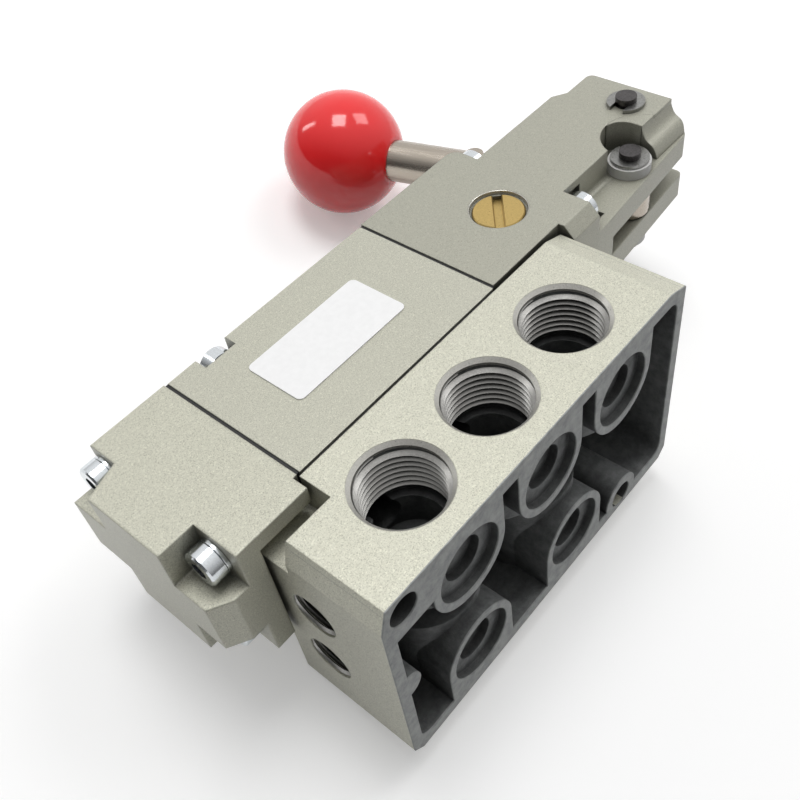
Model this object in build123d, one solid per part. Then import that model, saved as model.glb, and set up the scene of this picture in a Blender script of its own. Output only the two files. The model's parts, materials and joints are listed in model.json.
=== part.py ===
"""Hand lever air valve on a ported sub-base, modelled as the separate pieces it comes apart into.

Millimetres. The origin is the centre of the sub-base's mounting face. +X runs along the valve
towards the lever bracket, +Y from the mounting face towards the knob, and +Z out of the face
that carries three ports. The valve lies on the opposite face.
"""
from build123d import *
from math import atan, cos, degrees, radians, sin, tan
import os

# ---- sub-base casting -------------------------------------------------------------------------
BASE_LENGTH = 85.3
BASE_HEIGHT = 27.4
BASE_DEPTH = 50.8
BASE_END_WALL = 2.4
BASE_SIDE_WALL = 2.9
BASE_ROOF = 4.6
BASE_CORNER_CHAMFER = 2.2
CORE_CORNER_RADIUS = 3.0
END_NUB_RADIUS = 2.9         # thickening inside the left end wall
FRONT_BEVEL = 1.6            # strip along the left and right edges of the port face
FRONT_BEVEL_DEPTH = 5.0

# ---- main ports: three on the front face, two on the back, 3/8 pipe thread ----------------------
PORT_HEIGHT = 13.0
PORT_PITCH = 22.4
PORT_THREAD_RADIUS = 8.33
PORT_THREAD_DEPTH = 12.6     # from the face to the end of the thread
PORT_MOUTH_RADIUS = 8.94
PORT_MOUTH_DEPTH = 1.3
PORT_TUBE_WALL = 2.1
CHAMBER_RADIUS = 6.6
CHAMBER_DEPTH = 20.0         # from the face
BACK_PORT_PITCH = 29.8
BACK_PORT_OFFSET = -7.25     # middle of the back pair, from the middle of the base

# ---- blanked bottom ports on round bosses -------------------------------------------------------
BOSS_RADIUS = 9.1
BOSS_SETBACK = 11.3          # from the front or back face
BOSS_RECESS_RADIUS = 7.5
BOSS_RECESS_DEPTH = 1.7
BOSS_HOLE_RADIUS = 4.3
BOSS_HOLE_DEPTH = 3.4

# ---- pilot ports on the left end, 1/8 pipe thread -----------------------------------------------
PILOT_HEIGHT = 17.6
PILOT_PITCH = 15.5
PILOT_CENTRE_Z = -0.6
PILOT_THREAD_RADIUS = 4.86
PILOT_DEPTH = 8.0
PILOT_BOSS_WALL = 2.0

# ---- screws that hold the base down -------------------------------------------------------------
MOUNT_HOLE_RADIUS = 3.1
MOUNT_HOLE_EDGE = 4.0        # hole centre from the front or back face
MOUNT_HOLE_LEFT = 5.0        # front hole, from the left end
MOUNT_HOLE_RIGHT = 17.7      # back hole, from the right end
MOUNT_BOSS_RADIUS = 5.2
NOTCH_LENGTH = 11.7          # notch in the front left corner over the front hole
NOTCH_HEIGHT = 7.0
NOTCH_DEPTH = 7.6

# ---- ducts between the base and the valve body --------------------------------------------------
DUCT_RADIUS = 3.6
DUCT_WALL = 2.0
SEAT_ROW_OFFSET = 5.2        # back ducts surface this far behind the spool axis

# ---- valve body ---------------------------------------------------------------------------------
BODY_LENGTH = 51.9
BODY_HEIGHT = 34.2
VALVE_DEPTH = 30.4
BODY_SETBACK = 12.35         # left end of the body from the left end of the base
BASE_GASKET = 0.6
END_GASKET = 0.7
GASKET_MARGIN = 0.5
SPOOL_AXIS_HEIGHT = 13.4     # above the body's seat
BODY_EDGE_RADIUS = 0.6
LABEL_LENGTH = 28.4
LABEL_WIDTH = 13.9
LABEL_THICKNESS = 0.2
LABEL_LEFT = 10.9            # from the left end of the body
LABEL_BOTTOM = 10.5          # above the seat
LABEL_CORNER_RADIUS = 1.2

# ---- sleeve and spool ---------------------------------------------------------------------------
SLEEVE_RADIUS = 7.8
SLEEVE_BORE_RADIUS = 5.5
SLEEVE_SEALS = 6             # one each side of every station
SEAL_END = 3.45              # middle of an outer seal, from the end of the sleeve
SLEEVE_PORT_RADIUS = 2.1
ROD_RADIUS = 4.25
STEM_RADIUS = 3.2
SPOOL_CLEARANCE = 0.05
STATIC_CLEARANCE = 0.05
SEAL_GROOVE_WIDTH = 2.2
SEAL_GROOVE_DEPTH = 1.5
SPOOL_GROOVE_WIDTH = 1.6
SPOOL_GROOVE_DEPTH = 1.2
LAND_LENGTH = 3.5
GUIDE_LENGTH = 5.0
DETENT_GROOVE_DEPTH = 0.8

# ---- end cover ----------------------------------------------------------------------------------
COVER_LENGTH = 24.1
COVER_SKIRT = 3.3            # how far the cover and the housing hang below the body's seat
COVER_TOP_RISE = 0.3
COVER_POCKET_LENGTH = 7.4    # end of the cover to the screw seats
COVER_POCKET_CLEARANCE = 0.4 # round the screw heads
COVER_POCKET_SLOPE = 2.6
COVER_LIP = 3.6
COVER_FACET_LENGTH = 4.2
COVER_FACET_HEIGHT = 2.5
SEAT_GAP = 0.5               # cover and housing clear the base by this much
BASE_END_GAP = 0.9           # skirt to the ends of the base

# ---- screws (metric 4, socket heads) ------------------------------------------------------------
SCREW_RADIUS = 2.0
SCREW_HEAD_RADIUS = 3.5
SCREW_HEAD_LENGTH = 4.0
SCREW_SOCKET_FLATS = 3.0
SCREW_SOCKET_DEPTH = 2.2
SCREW_ENGAGEMENT = 6.0
SCREW_HOLE_CLEARANCE = 0.25
SCREW_SIDE_INSET = 4.9       # screw axis from the front or back face of the valve
SCREW_TOP_INSET = 2.9        # upper screw axis below the top of the valve
SCREW_LOW_HEIGHT = 2.8       # lower screw axis above the body's seat
BODY_SCREW_X = 10.4          # body screws from either end of the body
BODY_SCREW_INSET = 4.2       # and from its front or back face
BODY_SCREW_NOTCH_WIDTH = 7.4
BODY_SCREW_NOTCH_DEPTH = 3.3
BODY_SCREW_ENGAGEMENT = 4.4

# ---- lever housing ------------------------------------------------------------------------------
HOUSING_LENGTH = 30.2
HOUSING_SIDE_BEVEL = 2.5
HOUSING_TOP_RADIUS = 2.5
BRACKET_LENGTH = 39.9
BRACKET_TOP_DROP = 6.7       # raised bracket below the top of the housing
BRACKET_TIP_DROP = 2.2       # further drop near the tip
BRACKET_TIP_LENGTH = 9.0
BRACKET_TIP_RAMP = 3.3
BRACKET_FOOT_RISE = 2.7      # lower edge rises by this much from the housing to the tip
BRACKET_CORNER_RADIUS = 1.6
LEVEL_DROP = 7.0             # lower level of each cheek below the raised one
LEVEL_HEIGHT = 5.5           # edge of the raised level above the body's seat
LEVEL_TIP_HEIGHT = 4.0
LEVEL_FOOT_RADIUS = 1.2
POCKET_RADIUS = 8.4
POCKET_OFFSET_X = 2.2        # pocket centre from the pivot
POCKET_OFFSET_Y = -0.95
CHEEK_SLOT = 5.1
SLOT_START = 6.5             # from the housing block
HEAD_RELIEF_RADIUS = 4.1
HEAD_RELIEF_LENGTH = 6.0
ROD_SEAL_RADIUS = 7.0
ROD_SEAL_LENGTH = 3.0

# ---- detent -------------------------------------------------------------------------------------
DETENT_X = 18.9              # from the housing's gasket face
PLUG_RADIUS = 5.45
PLUG_LENGTH = 3.2
PLUG_RECESS_RADIUS = 6.17
PLUG_SUNK = 0.5
PLUG_SLOT_WIDTH = 1.8
PLUG_SLOT_DEPTH = 1.3
PLUG_SLOT_TURN = 49          # degrees from the spool's axis
PLUG_SEAL_LENGTH = 1.0
DETENT_BALL_RADIUS = 1.6
DETENT_HOLE_RADIUS = 1.75
DETENT_LIFT = 0.1            # the ball is drawn just clear of the rod's crest
SPRING_WIRE_RADIUS = 0.3
SPRING_TURNS = 4

# ---- lever, pins and knob -----------------------------------------------------------------------
LEVER_TILT = 16.3            # degrees each side of upright, between the two stops
PIVOT_X = 22.1               # from the face of the housing block
PIVOT_HEIGHT = 3.35          # above the body's seat
PLATE_THICKNESS = 4.4
PLATE_HALF_WIDTH = 5.0
PLATE_LENGTH = 39.0
PLATE_CORNER_RADIUS = 1.7
STOP_PIN_X = 11.4            # from the pivot
STOP_PIN_Y = 8.35
EAR_WALL = 2.0
STOP_CLEARANCE = 0.12
DRIVE_PIN_RADIUS = 1.75
DRIVE_CLEARANCE = 0.06
SPOOL_FORK_CLEARANCE = 0.15
SPOOL_TIP = 3.6              # spool end beyond the drive pin
PIN_RADIUS = 2.35
PIN_CLEARANCE = 0.05
PIN_HEAD_RADIUS = 3.6
PIN_HEAD_LENGTH = 1.3
PIVOT_PIN_PROUD = 4.5        # beyond the lower level
STOP_PIN_PROUD = 2.0
WASHER_RADIUS = 4.7
WASHER_THICKNESS = 2.3
CLIP_RADIUS = 4.2
CLIP_THICKNESS = 0.8
CLIP_GROOVE_DEPTH = 0.5
CLIP_MOUTH = 3.2
PIVOT_CLIP_TURN = 40         # directions of the clips' mouths, degrees
STOP_CLIP_TURN = 180
HANDLE_RADIUS = 5.0
HANDLE_START = 28.5          # from the pivot, along the lever
HANDLE_FORK_DEPTH = 12.0
RIVET_RADIUS = 1.3
RIVET_HEAD_RADIUS = 2.2
RIVET_HEAD_LENGTH = 0.7
RIVET_PITCH = 5.4
KNOB_RADIUS = 15.1
KNOB_DISTANCE = 71.9         # pivot to the middle of the knob
KNOB_FLAT = 14.1             # middle of the knob to its flat
KNOB_BORE_DEPTH = 12.0

# ---- places that follow from the sizes above ----------------------------------------------------
BASE_LEFT = -BASE_LENGTH / 2
BASE_RIGHT = BASE_LENGTH / 2
FRONT = BASE_DEPTH / 2
BACK = -BASE_DEPTH / 2
ROOF = BASE_HEIGHT - BASE_ROOF
SEAT = BASE_HEIGHT + BASE_GASKET
AXIS_Y = SEAT + SPOOL_AXIS_HEIGHT
AXIS_Z = FRONT - VALVE_DEPTH / 2
VALVE_BACK = FRONT - VALVE_DEPTH
VALVE_TOP = SEAT + BODY_HEIGHT
SKIRT_Y = SEAT - COVER_SKIRT
BODY_LEFT = BASE_LEFT + BODY_SETBACK
BODY_RIGHT = BODY_LEFT + BODY_LENGTH
BODY_MIDDLE = (BODY_LEFT + BODY_RIGHT) / 2
SEAT_PITCH = (BODY_LENGTH - 2 * SEAL_END) / (SLEEVE_SEALS - 1)
COVER_RIGHT = BODY_LEFT - END_GASKET
COVER_LEFT = COVER_RIGHT - COVER_LENGTH
HOUSING_LEFT = BODY_RIGHT + END_GASKET
HOUSING_RIGHT = HOUSING_LEFT + HOUSING_LENGTH
BRACKET_TIP = HOUSING_RIGHT + BRACKET_LENGTH
BRACKET_TOP = VALVE_TOP - BRACKET_TOP_DROP
FRONT_PORTS = [-PORT_PITCH, 0, PORT_PITCH]
BACK_PORTS = [BACK_PORT_OFFSET - BACK_PORT_PITCH / 2, BACK_PORT_OFFSET + BACK_PORT_PITCH / 2]
FRONT_HOLE = (BASE_LEFT + MOUNT_HOLE_LEFT, FRONT - MOUNT_HOLE_EDGE)
BACK_HOLE = (BASE_RIGHT - MOUNT_HOLE_RIGHT, BACK + MOUNT_HOLE_EDGE)
STATIONS = [BODY_MIDDLE + SEAT_PITCH * step for step in (-2, -1, 0, 1, 2)]
SCREW_ROWS = [VALVE_TOP - SCREW_TOP_INSET, SEAT + SCREW_LOW_HEIGHT]
SCREW_SIDES = [FRONT - SCREW_SIDE_INSET, VALVE_BACK + SCREW_SIDE_INSET]
BODY_SCREWS = [(BODY_LEFT + BODY_SCREW_X, FRONT - BODY_SCREW_INSET),
               (BODY_RIGHT - BODY_SCREW_X, VALVE_BACK + BODY_SCREW_INSET)]
PIVOT = (HOUSING_RIGHT + PIVOT_X, SEAT + PIVOT_HEIGHT)
STOP_PIN = (PIVOT[0] + STOP_PIN_X, PIVOT[1] + STOP_PIN_Y)
STOP_ARC_RADIUS = (STOP_PIN_X ** 2 + STOP_PIN_Y ** 2) ** 0.5
DRIVE_ARM = AXIS_Y - PIVOT[1]
DRIVE_X = PIVOT[0] - DRIVE_ARM * tan(radians(LEVER_TILT))
SPOOL_TRAVEL = 2 * DRIVE_ARM * tan(radians(LEVER_TILT))
SPOOL_END = DRIVE_X + SPOOL_TIP
DETENT_PLACE = HOUSING_LEFT + DETENT_X
TOOL_OVERRUN = 1.0           # cutting tools run this far past the face they break through


# ---- shapes along the three axes ----------------------------------------------------------------
def block(x_span, y_span, z_span):
    """Box between two values on each axis."""
    sizes = [abs(span[1] - span[0]) for span in (x_span, y_span, z_span)]
    middles = [(span[0] + span[1]) / 2 for span in (x_span, y_span, z_span)]
    return Pos(*middles) * Box(*sizes)


def round_x(radius, x_span, y, z):
    """Cylinder along X between two values of x."""
    middle = (x_span[0] + x_span[1]) / 2
    return Pos(middle, y, z) * Rot(0, 90, 0) * Cylinder(radius, abs(x_span[1] - x_span[0]))


def round_y(radius, x, y_span, z):
    """Cylinder along Y between two values of y."""
    middle = (y_span[0] + y_span[1]) / 2
    return Pos(x, middle, z) * Rot(90, 0, 0) * Cylinder(radius, abs(y_span[1] - y_span[0]))


def round_z(radius, x, y, z_span):
    """Cylinder along Z between two values of z."""
    middle = (z_span[0] + z_span[1]) / 2
    return Pos(x, y, middle) * Cylinder(radius, abs(z_span[1] - z_span[0]))


def slanted(radius, start, end):
    """Cylinder between two points."""
    run = Vector(end) - Vector(start)
    return Plane(origin=start, z_dir=run) * extrude(Circle(radius), run.length)


def flat_shape(points, z_span):
    """Outline in x and y, extruded between two values of z."""
    face = make_face(Polyline(*points, close=True))
    return Pos(0, 0, min(z_span)) * extrude(face, abs(z_span[1] - z_span[0]))


def end_shape(points, x_span):
    """Outline in y and z, extruded between two values of x."""
    face = make_face(Plane.YZ * Polyline(*points, close=True))
    return Pos(min(x_span), 0, 0) * extrude(face, abs(x_span[1] - x_span[0]), dir=(1, 0, 0))


def turned(profile, y, z):
    """Solid of revolution about an axis along X; the profile lists (x, radius) points."""
    face = make_face(Polyline(*profile, close=True))
    return Pos(0, y, z) * revolve(face, Axis.X)


def ring_x(outer, inner, x_span, y, z):
    """Square-section ring about an axis along X."""
    return round_x(outer, x_span, y, z) - round_x(inner, x_span, y, z)


def both_cheeks(shape):
    """The shape with its mirror image about the lever's middle plane."""
    return shape + mirror(shape, Plane.XY.offset(AXIS_Z))


def edges_along(shape, axis, x=None, y=None, z=None):
    """Straight edges parallel to an axis whose middle has the given coordinates."""
    found = shape.edges().filter_by(axis)
    for name, value in (("X", x), ("Y", y), ("Z", z)):
        if value is not None:
            found = found.filter_by(lambda edge: abs(getattr(edge.center(), name) - value) < 0.01)
    return found


# ---- sub-base -----------------------------------------------------------------------------------
def boss_column(x, face_z, radius):
    """Boss under a port, carried back to the nearer wall so that its sides run straight in."""
    inward = -1 if face_z > 0 else 1
    middle_z = face_z + inward * BOSS_SETBACK
    column = round_y(radius, x, (0, ROOF), middle_z)
    return column + block((x - radius, x + radius), (0, ROOF), (middle_z, face_z))


def port_tube(x, face_z):
    """Thick wall round one main port's thread and chamber."""
    inward = -1 if face_z > 0 else 1
    end_z = face_z + inward * (CHAMBER_DEPTH + PORT_TUBE_WALL)
    return round_z(PORT_THREAD_RADIUS + PORT_TUBE_WALL, x, PORT_HEIGHT, (face_z, end_z))


def duct_lines():
    """Start and end of each duct: three from the front chambers, two from the back ones."""
    front_z = AXIS_Z
    back_z = BACK + CHAMBER_DEPTH - CHAMBER_RADIUS
    lines = []
    for port, station in zip(FRONT_PORTS, STATIONS[0::2]):
        lines.append(((port, PORT_HEIGHT, front_z), (station, BASE_HEIGHT, AXIS_Z)))
    for port, station in zip(BACK_PORTS, STATIONS[1::2]):
        lines.append(((port, PORT_HEIGHT, back_z), (station, BASE_HEIGHT, AXIS_Z - SEAT_ROW_OFFSET)))
    return lines


def base_core():
    """The hollow seen from the mounting face: a pocket with bosses, tubes and ducts left standing."""
    x_span = (BASE_LEFT + BASE_END_WALL, BASE_RIGHT - BASE_END_WALL)
    z_span = (BACK + BASE_SIDE_WALL, FRONT - BASE_SIDE_WALL)
    core = block(x_span, (-TOOL_OVERRUN, ROOF), z_span)
    core = fillet(core.edges().filter_by(Axis.Y), CORE_CORNER_RADIUS)
    for x in FRONT_PORTS:
        core -= boss_column(x, FRONT, BOSS_RADIUS).move(Location((0, -TOOL_OVERRUN, 0)))
        core -= boss_column(x, FRONT, BOSS_RADIUS)
        core -= port_tube(x, FRONT)
    for x in BACK_PORTS:
        core -= boss_column(x, BACK, BOSS_RADIUS).move(Location((0, -TOOL_OVERRUN, 0)))
        core -= boss_column(x, BACK, BOSS_RADIUS)
        core -= port_tube(x, BACK)
    for start, end in duct_lines():
        core -= slanted(DUCT_RADIUS + DUCT_WALL, start, end)
    return core - base_corner_blocks() - pilot_bosses()


def base_corner_blocks():
    """Solid corner round the front mounting hole, the boss of the back one and the end wall's nub."""
    depth = (-TOOL_OVERRUN, BASE_HEIGHT)
    corner = block((BASE_LEFT, FRONT_PORTS[0] - BOSS_RADIUS + TOOL_OVERRUN), depth,
                   (FRONT - BOSS_SETBACK + TOOL_OVERRUN, FRONT))
    boss = round_y(MOUNT_BOSS_RADIUS, BACK_HOLE[0], depth, BACK_HOLE[1])
    nub = round_y(END_NUB_RADIUS, BASE_LEFT + BASE_END_WALL, depth, PILOT_CENTRE_Z)
    return corner + boss + nub


def pilot_places():
    """Height and z of the two pilot ports."""
    return [(PILOT_HEIGHT, PILOT_CENTRE_Z + side * PILOT_PITCH / 2) for side in (1, -1)]


def pilot_bosses():
    """Thick rounds behind the pilot ports."""
    bosses = None
    for y, z in pilot_places():
        boss = round_x(PILOT_THREAD_RADIUS + PILOT_BOSS_WALL,
                       (BASE_LEFT, BASE_LEFT + PILOT_DEPTH + PILOT_BOSS_WALL), y, z)
        bosses = boss if bosses is None else bosses + boss
    return bosses


def main_port_cut(x, face_z):
    """Mouth, thread bore and chamber of one main port."""
    outward = 1 if face_z > 0 else -1
    past_face = face_z + outward * TOOL_OVERRUN
    cut = round_z(PORT_MOUTH_RADIUS, x, PORT_HEIGHT, (past_face, face_z - outward * PORT_MOUTH_DEPTH))
    cut += round_z(PORT_THREAD_RADIUS, x, PORT_HEIGHT, (past_face, face_z - outward * PORT_THREAD_DEPTH))
    return cut + round_z(CHAMBER_RADIUS, x, PORT_HEIGHT, (past_face, face_z - outward * CHAMBER_DEPTH))


def blank_port_cut(x, face_z):
    """Stepped recess in the foot of a boss."""
    middle_z = face_z - BOSS_SETBACK if face_z > 0 else face_z + BOSS_SETBACK
    cut = round_y(BOSS_RECESS_RADIUS, x, (-TOOL_OVERRUN, BOSS_RECESS_DEPTH), middle_z)
    return cut + round_y(BOSS_HOLE_RADIUS, x, (-TOOL_OVERRUN, BOSS_HOLE_DEPTH), middle_z)


def base_outside():
    """Outer block with its chamfered corners, bevelled port face and corner notch."""
    outside = block((BASE_LEFT, BASE_RIGHT), (0, BASE_HEIGHT), (BACK, FRONT))
    outside = chamfer(edges_along(outside, Axis.Y, z=BACK), BASE_CORNER_CHAMFER)
    outside = chamfer(edges_along(outside, Axis.Y, z=FRONT), FRONT_BEVEL_DEPTH, FRONT_BEVEL)
    notch = block((BASE_LEFT - TOOL_OVERRUN, BASE_LEFT + NOTCH_LENGTH),
                  (BASE_HEIGHT - NOTCH_HEIGHT, BASE_HEIGHT + TOOL_OVERRUN),
                  (FRONT - NOTCH_DEPTH, FRONT + TOOL_OVERRUN))
    return outside - notch


def sub_base():
    """Ported sub-base: one hollow casting with machined ports."""
    base = base_outside() - base_core()
    for x in FRONT_PORTS:
        base -= main_port_cut(x, FRONT)
        base -= blank_port_cut(x, FRONT)
    for x in BACK_PORTS:
        base -= main_port_cut(x, BACK)
        base -= blank_port_cut(x, BACK)
    for start, end in duct_lines():
        run = Vector(end) - Vector(start)
        base -= slanted(DUCT_RADIUS, start, Vector(end) + run.normalized() * DUCT_RADIUS * 2)
    for y, z in pilot_places():
        base -= round_x(PILOT_THREAD_RADIUS, (BASE_LEFT - TOOL_OVERRUN, BASE_LEFT + PILOT_DEPTH), y, z)
    for x, z in (FRONT_HOLE, BACK_HOLE):
        base -= round_y(MOUNT_HOLE_RADIUS, x, (-TOOL_OVERRUN, BASE_HEIGHT + TOOL_OVERRUN), z)
    for x, z in BODY_SCREWS:
        base -= round_y(SCREW_RADIUS + STATIC_CLEARANCE, x,
                        (BASE_HEIGHT - BODY_SCREW_ENGAGEMENT, BASE_HEIGHT + TOOL_OVERRUN), z)
    return base


# ---- valve body and gaskets ---------------------------------------------------------------------
def end_screw_holes(x_span, radius):
    """Four holes along X for the screws of one end."""
    holes = None
    for y in SCREW_ROWS:
        for z in SCREW_SIDES:
            hole = round_x(radius, x_span, y, z)
            holes = hole if holes is None else holes + hole
    return holes


def seat_holes(y_span):
    """Duct holes through the joint between base and body."""
    holes = None
    for step, x in enumerate(STATIONS):
        z = AXIS_Z if step % 2 == 0 else AXIS_Z - SEAT_ROW_OFFSET
        hole = round_y(DUCT_RADIUS, x, y_span, z)
        holes = hole if holes is None else holes + hole
    return holes


def body_screw_holes(y_span):
    """Two holes along Y for the screws that hold the valve on the base."""
    holes = None
    for x, z in BODY_SCREWS:
        hole = round_y(SCREW_RADIUS + SCREW_HOLE_CLEARANCE, x, y_span, z)
        holes = hole if holes is None else holes + hole
    return holes


def body_screw_notches():
    """Notches in the top edges that seat the heads of the body screws."""
    notches = None
    for x, z in BODY_SCREWS:
        outside = FRONT if z > AXIS_Z else VALVE_BACK
        edge = outside + TOOL_OVERRUN if z > AXIS_Z else outside - TOOL_OVERRUN
        inner = z - BODY_SCREW_NOTCH_WIDTH / 2 if z > AXIS_Z else z + BODY_SCREW_NOTCH_WIDTH / 2
        notch = block((x - BODY_SCREW_NOTCH_WIDTH / 2, x + BODY_SCREW_NOTCH_WIDTH / 2),
                      (VALVE_TOP - BODY_SCREW_NOTCH_DEPTH, VALVE_TOP + TOOL_OVERRUN), (inner, edge))
        notches = notch if notches is None else notches + notch
    return notches


def valve_body():
    """Middle block that holds the sleeve."""
    body = block((BODY_LEFT, BODY_RIGHT), (SEAT, VALVE_TOP), (VALVE_BACK, FRONT))
    body = fillet(edges_along(body, Axis.X, y=VALVE_TOP), BODY_EDGE_RADIUS)
    body -= round_x(SLEEVE_RADIUS + STATIC_CLEARANCE,
                    (BODY_LEFT - TOOL_OVERRUN, BODY_RIGHT + TOOL_OVERRUN), AXIS_Y, AXIS_Z)
    body -= seat_holes((SEAT - TOOL_OVERRUN, AXIS_Y))
    body -= body_screw_notches()
    body -= body_screw_holes((SEAT - TOOL_OVERRUN, VALVE_TOP))
    thread = SCREW_RADIUS + STATIC_CLEARANCE
    depth = SCREW_ENGAGEMENT + 2 * STATIC_CLEARANCE
    body -= end_screw_holes((BODY_LEFT - TOOL_OVERRUN, BODY_LEFT + depth), thread)
    return body - end_screw_holes((BODY_RIGHT - depth, BODY_RIGHT + TOOL_OVERRUN), thread)


def base_gasket():
    """Flat gasket between the base and the body."""
    sheet = block((BODY_LEFT + GASKET_MARGIN, BODY_RIGHT - GASKET_MARGIN), (BASE_HEIGHT, SEAT),
                  (VALVE_BACK + GASKET_MARGIN, FRONT - GASKET_MARGIN))
    past = (BASE_HEIGHT - TOOL_OVERRUN, SEAT + TOOL_OVERRUN)
    return sheet - seat_holes(past) - body_screw_holes(past)


def end_gasket(x_span):
    """Flat gasket between the body and an end piece."""
    sheet = block(x_span, (SEAT + GASKET_MARGIN / 2, VALVE_TOP - GASKET_MARGIN / 2),
                  (VALVE_BACK + GASKET_MARGIN / 2, FRONT - GASKET_MARGIN / 2))
    past = (x_span[0] - TOOL_OVERRUN, x_span[1] + TOOL_OVERRUN)
    sheet -= round_x(SLEEVE_BORE_RADIUS + STATIC_CLEARANCE, past, AXIS_Y, AXIS_Z)
    return sheet - end_screw_holes(past, SCREW_RADIUS + SCREW_HOLE_CLEARANCE)


def nameplate():
    """Bare label on the front of the body."""
    left = BODY_LEFT + LABEL_LEFT
    bottom = SEAT + LABEL_BOTTOM
    plate = block((left, left + LABEL_LENGTH), (bottom, bottom + LABEL_WIDTH),
                  (FRONT, FRONT + LABEL_THICKNESS))
    return fillet(plate.edges().filter_by(Axis.Z), LABEL_CORNER_RADIUS)


# ---- sleeve and spool ---------------------------------------------------------------------------
def seal_places():
    """Middles of the sleeve's seals, between and outside the five stations."""
    return [BODY_LEFT + SEAL_END + SEAT_PITCH * step for step in range(SLEEVE_SEALS)]


def spool_sleeve():
    """Ported sleeve pressed into the body, with seal grooves outside."""
    sleeve = ring_x(SLEEVE_RADIUS, SLEEVE_BORE_RADIUS, (BODY_LEFT, BODY_RIGHT), AXIS_Y, AXIS_Z)
    for x in STATIONS:
        sleeve -= round_y(SLEEVE_PORT_RADIUS, x, (AXIS_Y - SLEEVE_RADIUS - TOOL_OVERRUN,
                                                  AXIS_Y + SLEEVE_RADIUS + TOOL_OVERRUN), AXIS_Z)
    for x in seal_places():
        span = (x - SEAL_GROOVE_WIDTH / 2, x + SEAL_GROOVE_WIDTH / 2)
        sleeve -= ring_x(SLEEVE_RADIUS + TOOL_OVERRUN, SLEEVE_RADIUS - SEAL_GROOVE_DEPTH, span,
                         AXIS_Y, AXIS_Z)
    return sleeve


def sleeve_seals():
    """Six rings round the sleeve."""
    rings = []
    for x in seal_places():
        half = SEAL_GROOVE_WIDTH / 2 - STATIC_CLEARANCE
        rings.append(ring_x(SLEEVE_RADIUS + STATIC_CLEARANCE / 2,
                            SLEEVE_RADIUS - SEAL_GROOVE_DEPTH + STATIC_CLEARANCE,
                            (x - half, x + half), AXIS_Y, AXIS_Z))
    return rings


def land_spans():
    """The guide and the two control lands of the spool at rest."""
    guide_right = STATIONS[0] - SLEEVE_PORT_RADIUS - SPOOL_TRAVEL
    first = (STATIONS[1] - SLEEVE_PORT_RADIUS - LAND_LENGTH, STATIONS[1] - SLEEVE_PORT_RADIUS)
    second = (STATIONS[3] - SLEEVE_PORT_RADIUS - LAND_LENGTH, STATIONS[3] - SLEEVE_PORT_RADIUS)
    return [(guide_right - GUIDE_LENGTH, guide_right), first, second]


def detent_grooves():
    """Middles of the two grooves that the detent ball drops into."""
    return [DETENT_PLACE - SPOOL_TRAVEL, DETENT_PLACE]


def spool_profile():
    """Half section of the spool: lands with seal grooves, stems, and the rod with its detent grooves."""
    land = SLEEVE_BORE_RADIUS - SPOOL_CLEARANCE
    spans = land_spans()
    points = [(spans[0][0], 0)]
    for left, right in spans:
        middle = (left + right) / 2
        groove_left = middle - SPOOL_GROOVE_WIDTH / 2
        groove_right = middle + SPOOL_GROOVE_WIDTH / 2
        floor = land - SPOOL_GROOVE_DEPTH
        points += [(left, STEM_RADIUS)] if left != spans[0][0] else []
        points += [(left, land), (groove_left, land), (groove_left, floor), (groove_right, floor),
                   (groove_right, land), (right, land), (right, STEM_RADIUS)]
    rod_start = BODY_RIGHT - SPOOL_TRAVEL
    points += [(rod_start, STEM_RADIUS), (rod_start, ROD_RADIUS)]
    for x in detent_grooves():
        points += [(x - DETENT_GROOVE_DEPTH, ROD_RADIUS), (x, ROD_RADIUS - DETENT_GROOVE_DEPTH),
                   (x + DETENT_GROOVE_DEPTH, ROD_RADIUS)]
    return points + [(SPOOL_END, ROD_RADIUS), (SPOOL_END, 0)]


def spool():
    """Spool and its rod in one piece; the end is forked over the lever plate."""
    body = turned(spool_profile(), AXIS_Y, AXIS_Z)
    reach = PLATE_HALF_WIDTH / cos(radians(LEVER_TILT)) + ROD_RADIUS * tan(radians(LEVER_TILT))
    half = PLATE_THICKNESS / 2 + SPOOL_FORK_CLEARANCE
    body -= block((DRIVE_X - reach - 2 * SPOOL_FORK_CLEARANCE, SPOOL_END + TOOL_OVERRUN),
                  (AXIS_Y - ROD_RADIUS - TOOL_OVERRUN, AXIS_Y + ROD_RADIUS + TOOL_OVERRUN),
                  (AXIS_Z - half, AXIS_Z + half))
    return body - round_z(DRIVE_PIN_RADIUS, DRIVE_X, AXIS_Y,
                          (AXIS_Z - ROD_RADIUS - TOOL_OVERRUN, AXIS_Z + ROD_RADIUS + TOOL_OVERRUN))


def spool_seals():
    """Rings in the grooves of the lands."""
    rings = []
    land = SLEEVE_BORE_RADIUS - SPOOL_CLEARANCE
    for left, right in land_spans():
        middle = (left + right) / 2
        half = SPOOL_GROOVE_WIDTH / 2 - STATIC_CLEARANCE
        rings.append(ring_x(land + SPOOL_CLEARANCE / 5, land - SPOOL_GROOVE_DEPTH + STATIC_CLEARANCE,
                            (middle - half, middle + half), AXIS_Y, AXIS_Z))
    return rings


def drive_pin():
    """Pin across the spool's fork, through the slot in the lever plate."""
    reach = (ROD_RADIUS ** 2 - DRIVE_PIN_RADIUS ** 2) ** 0.5
    return round_z(DRIVE_PIN_RADIUS, DRIVE_X, AXIS_Y, (AXIS_Z - reach, AXIS_Z + reach))


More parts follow.
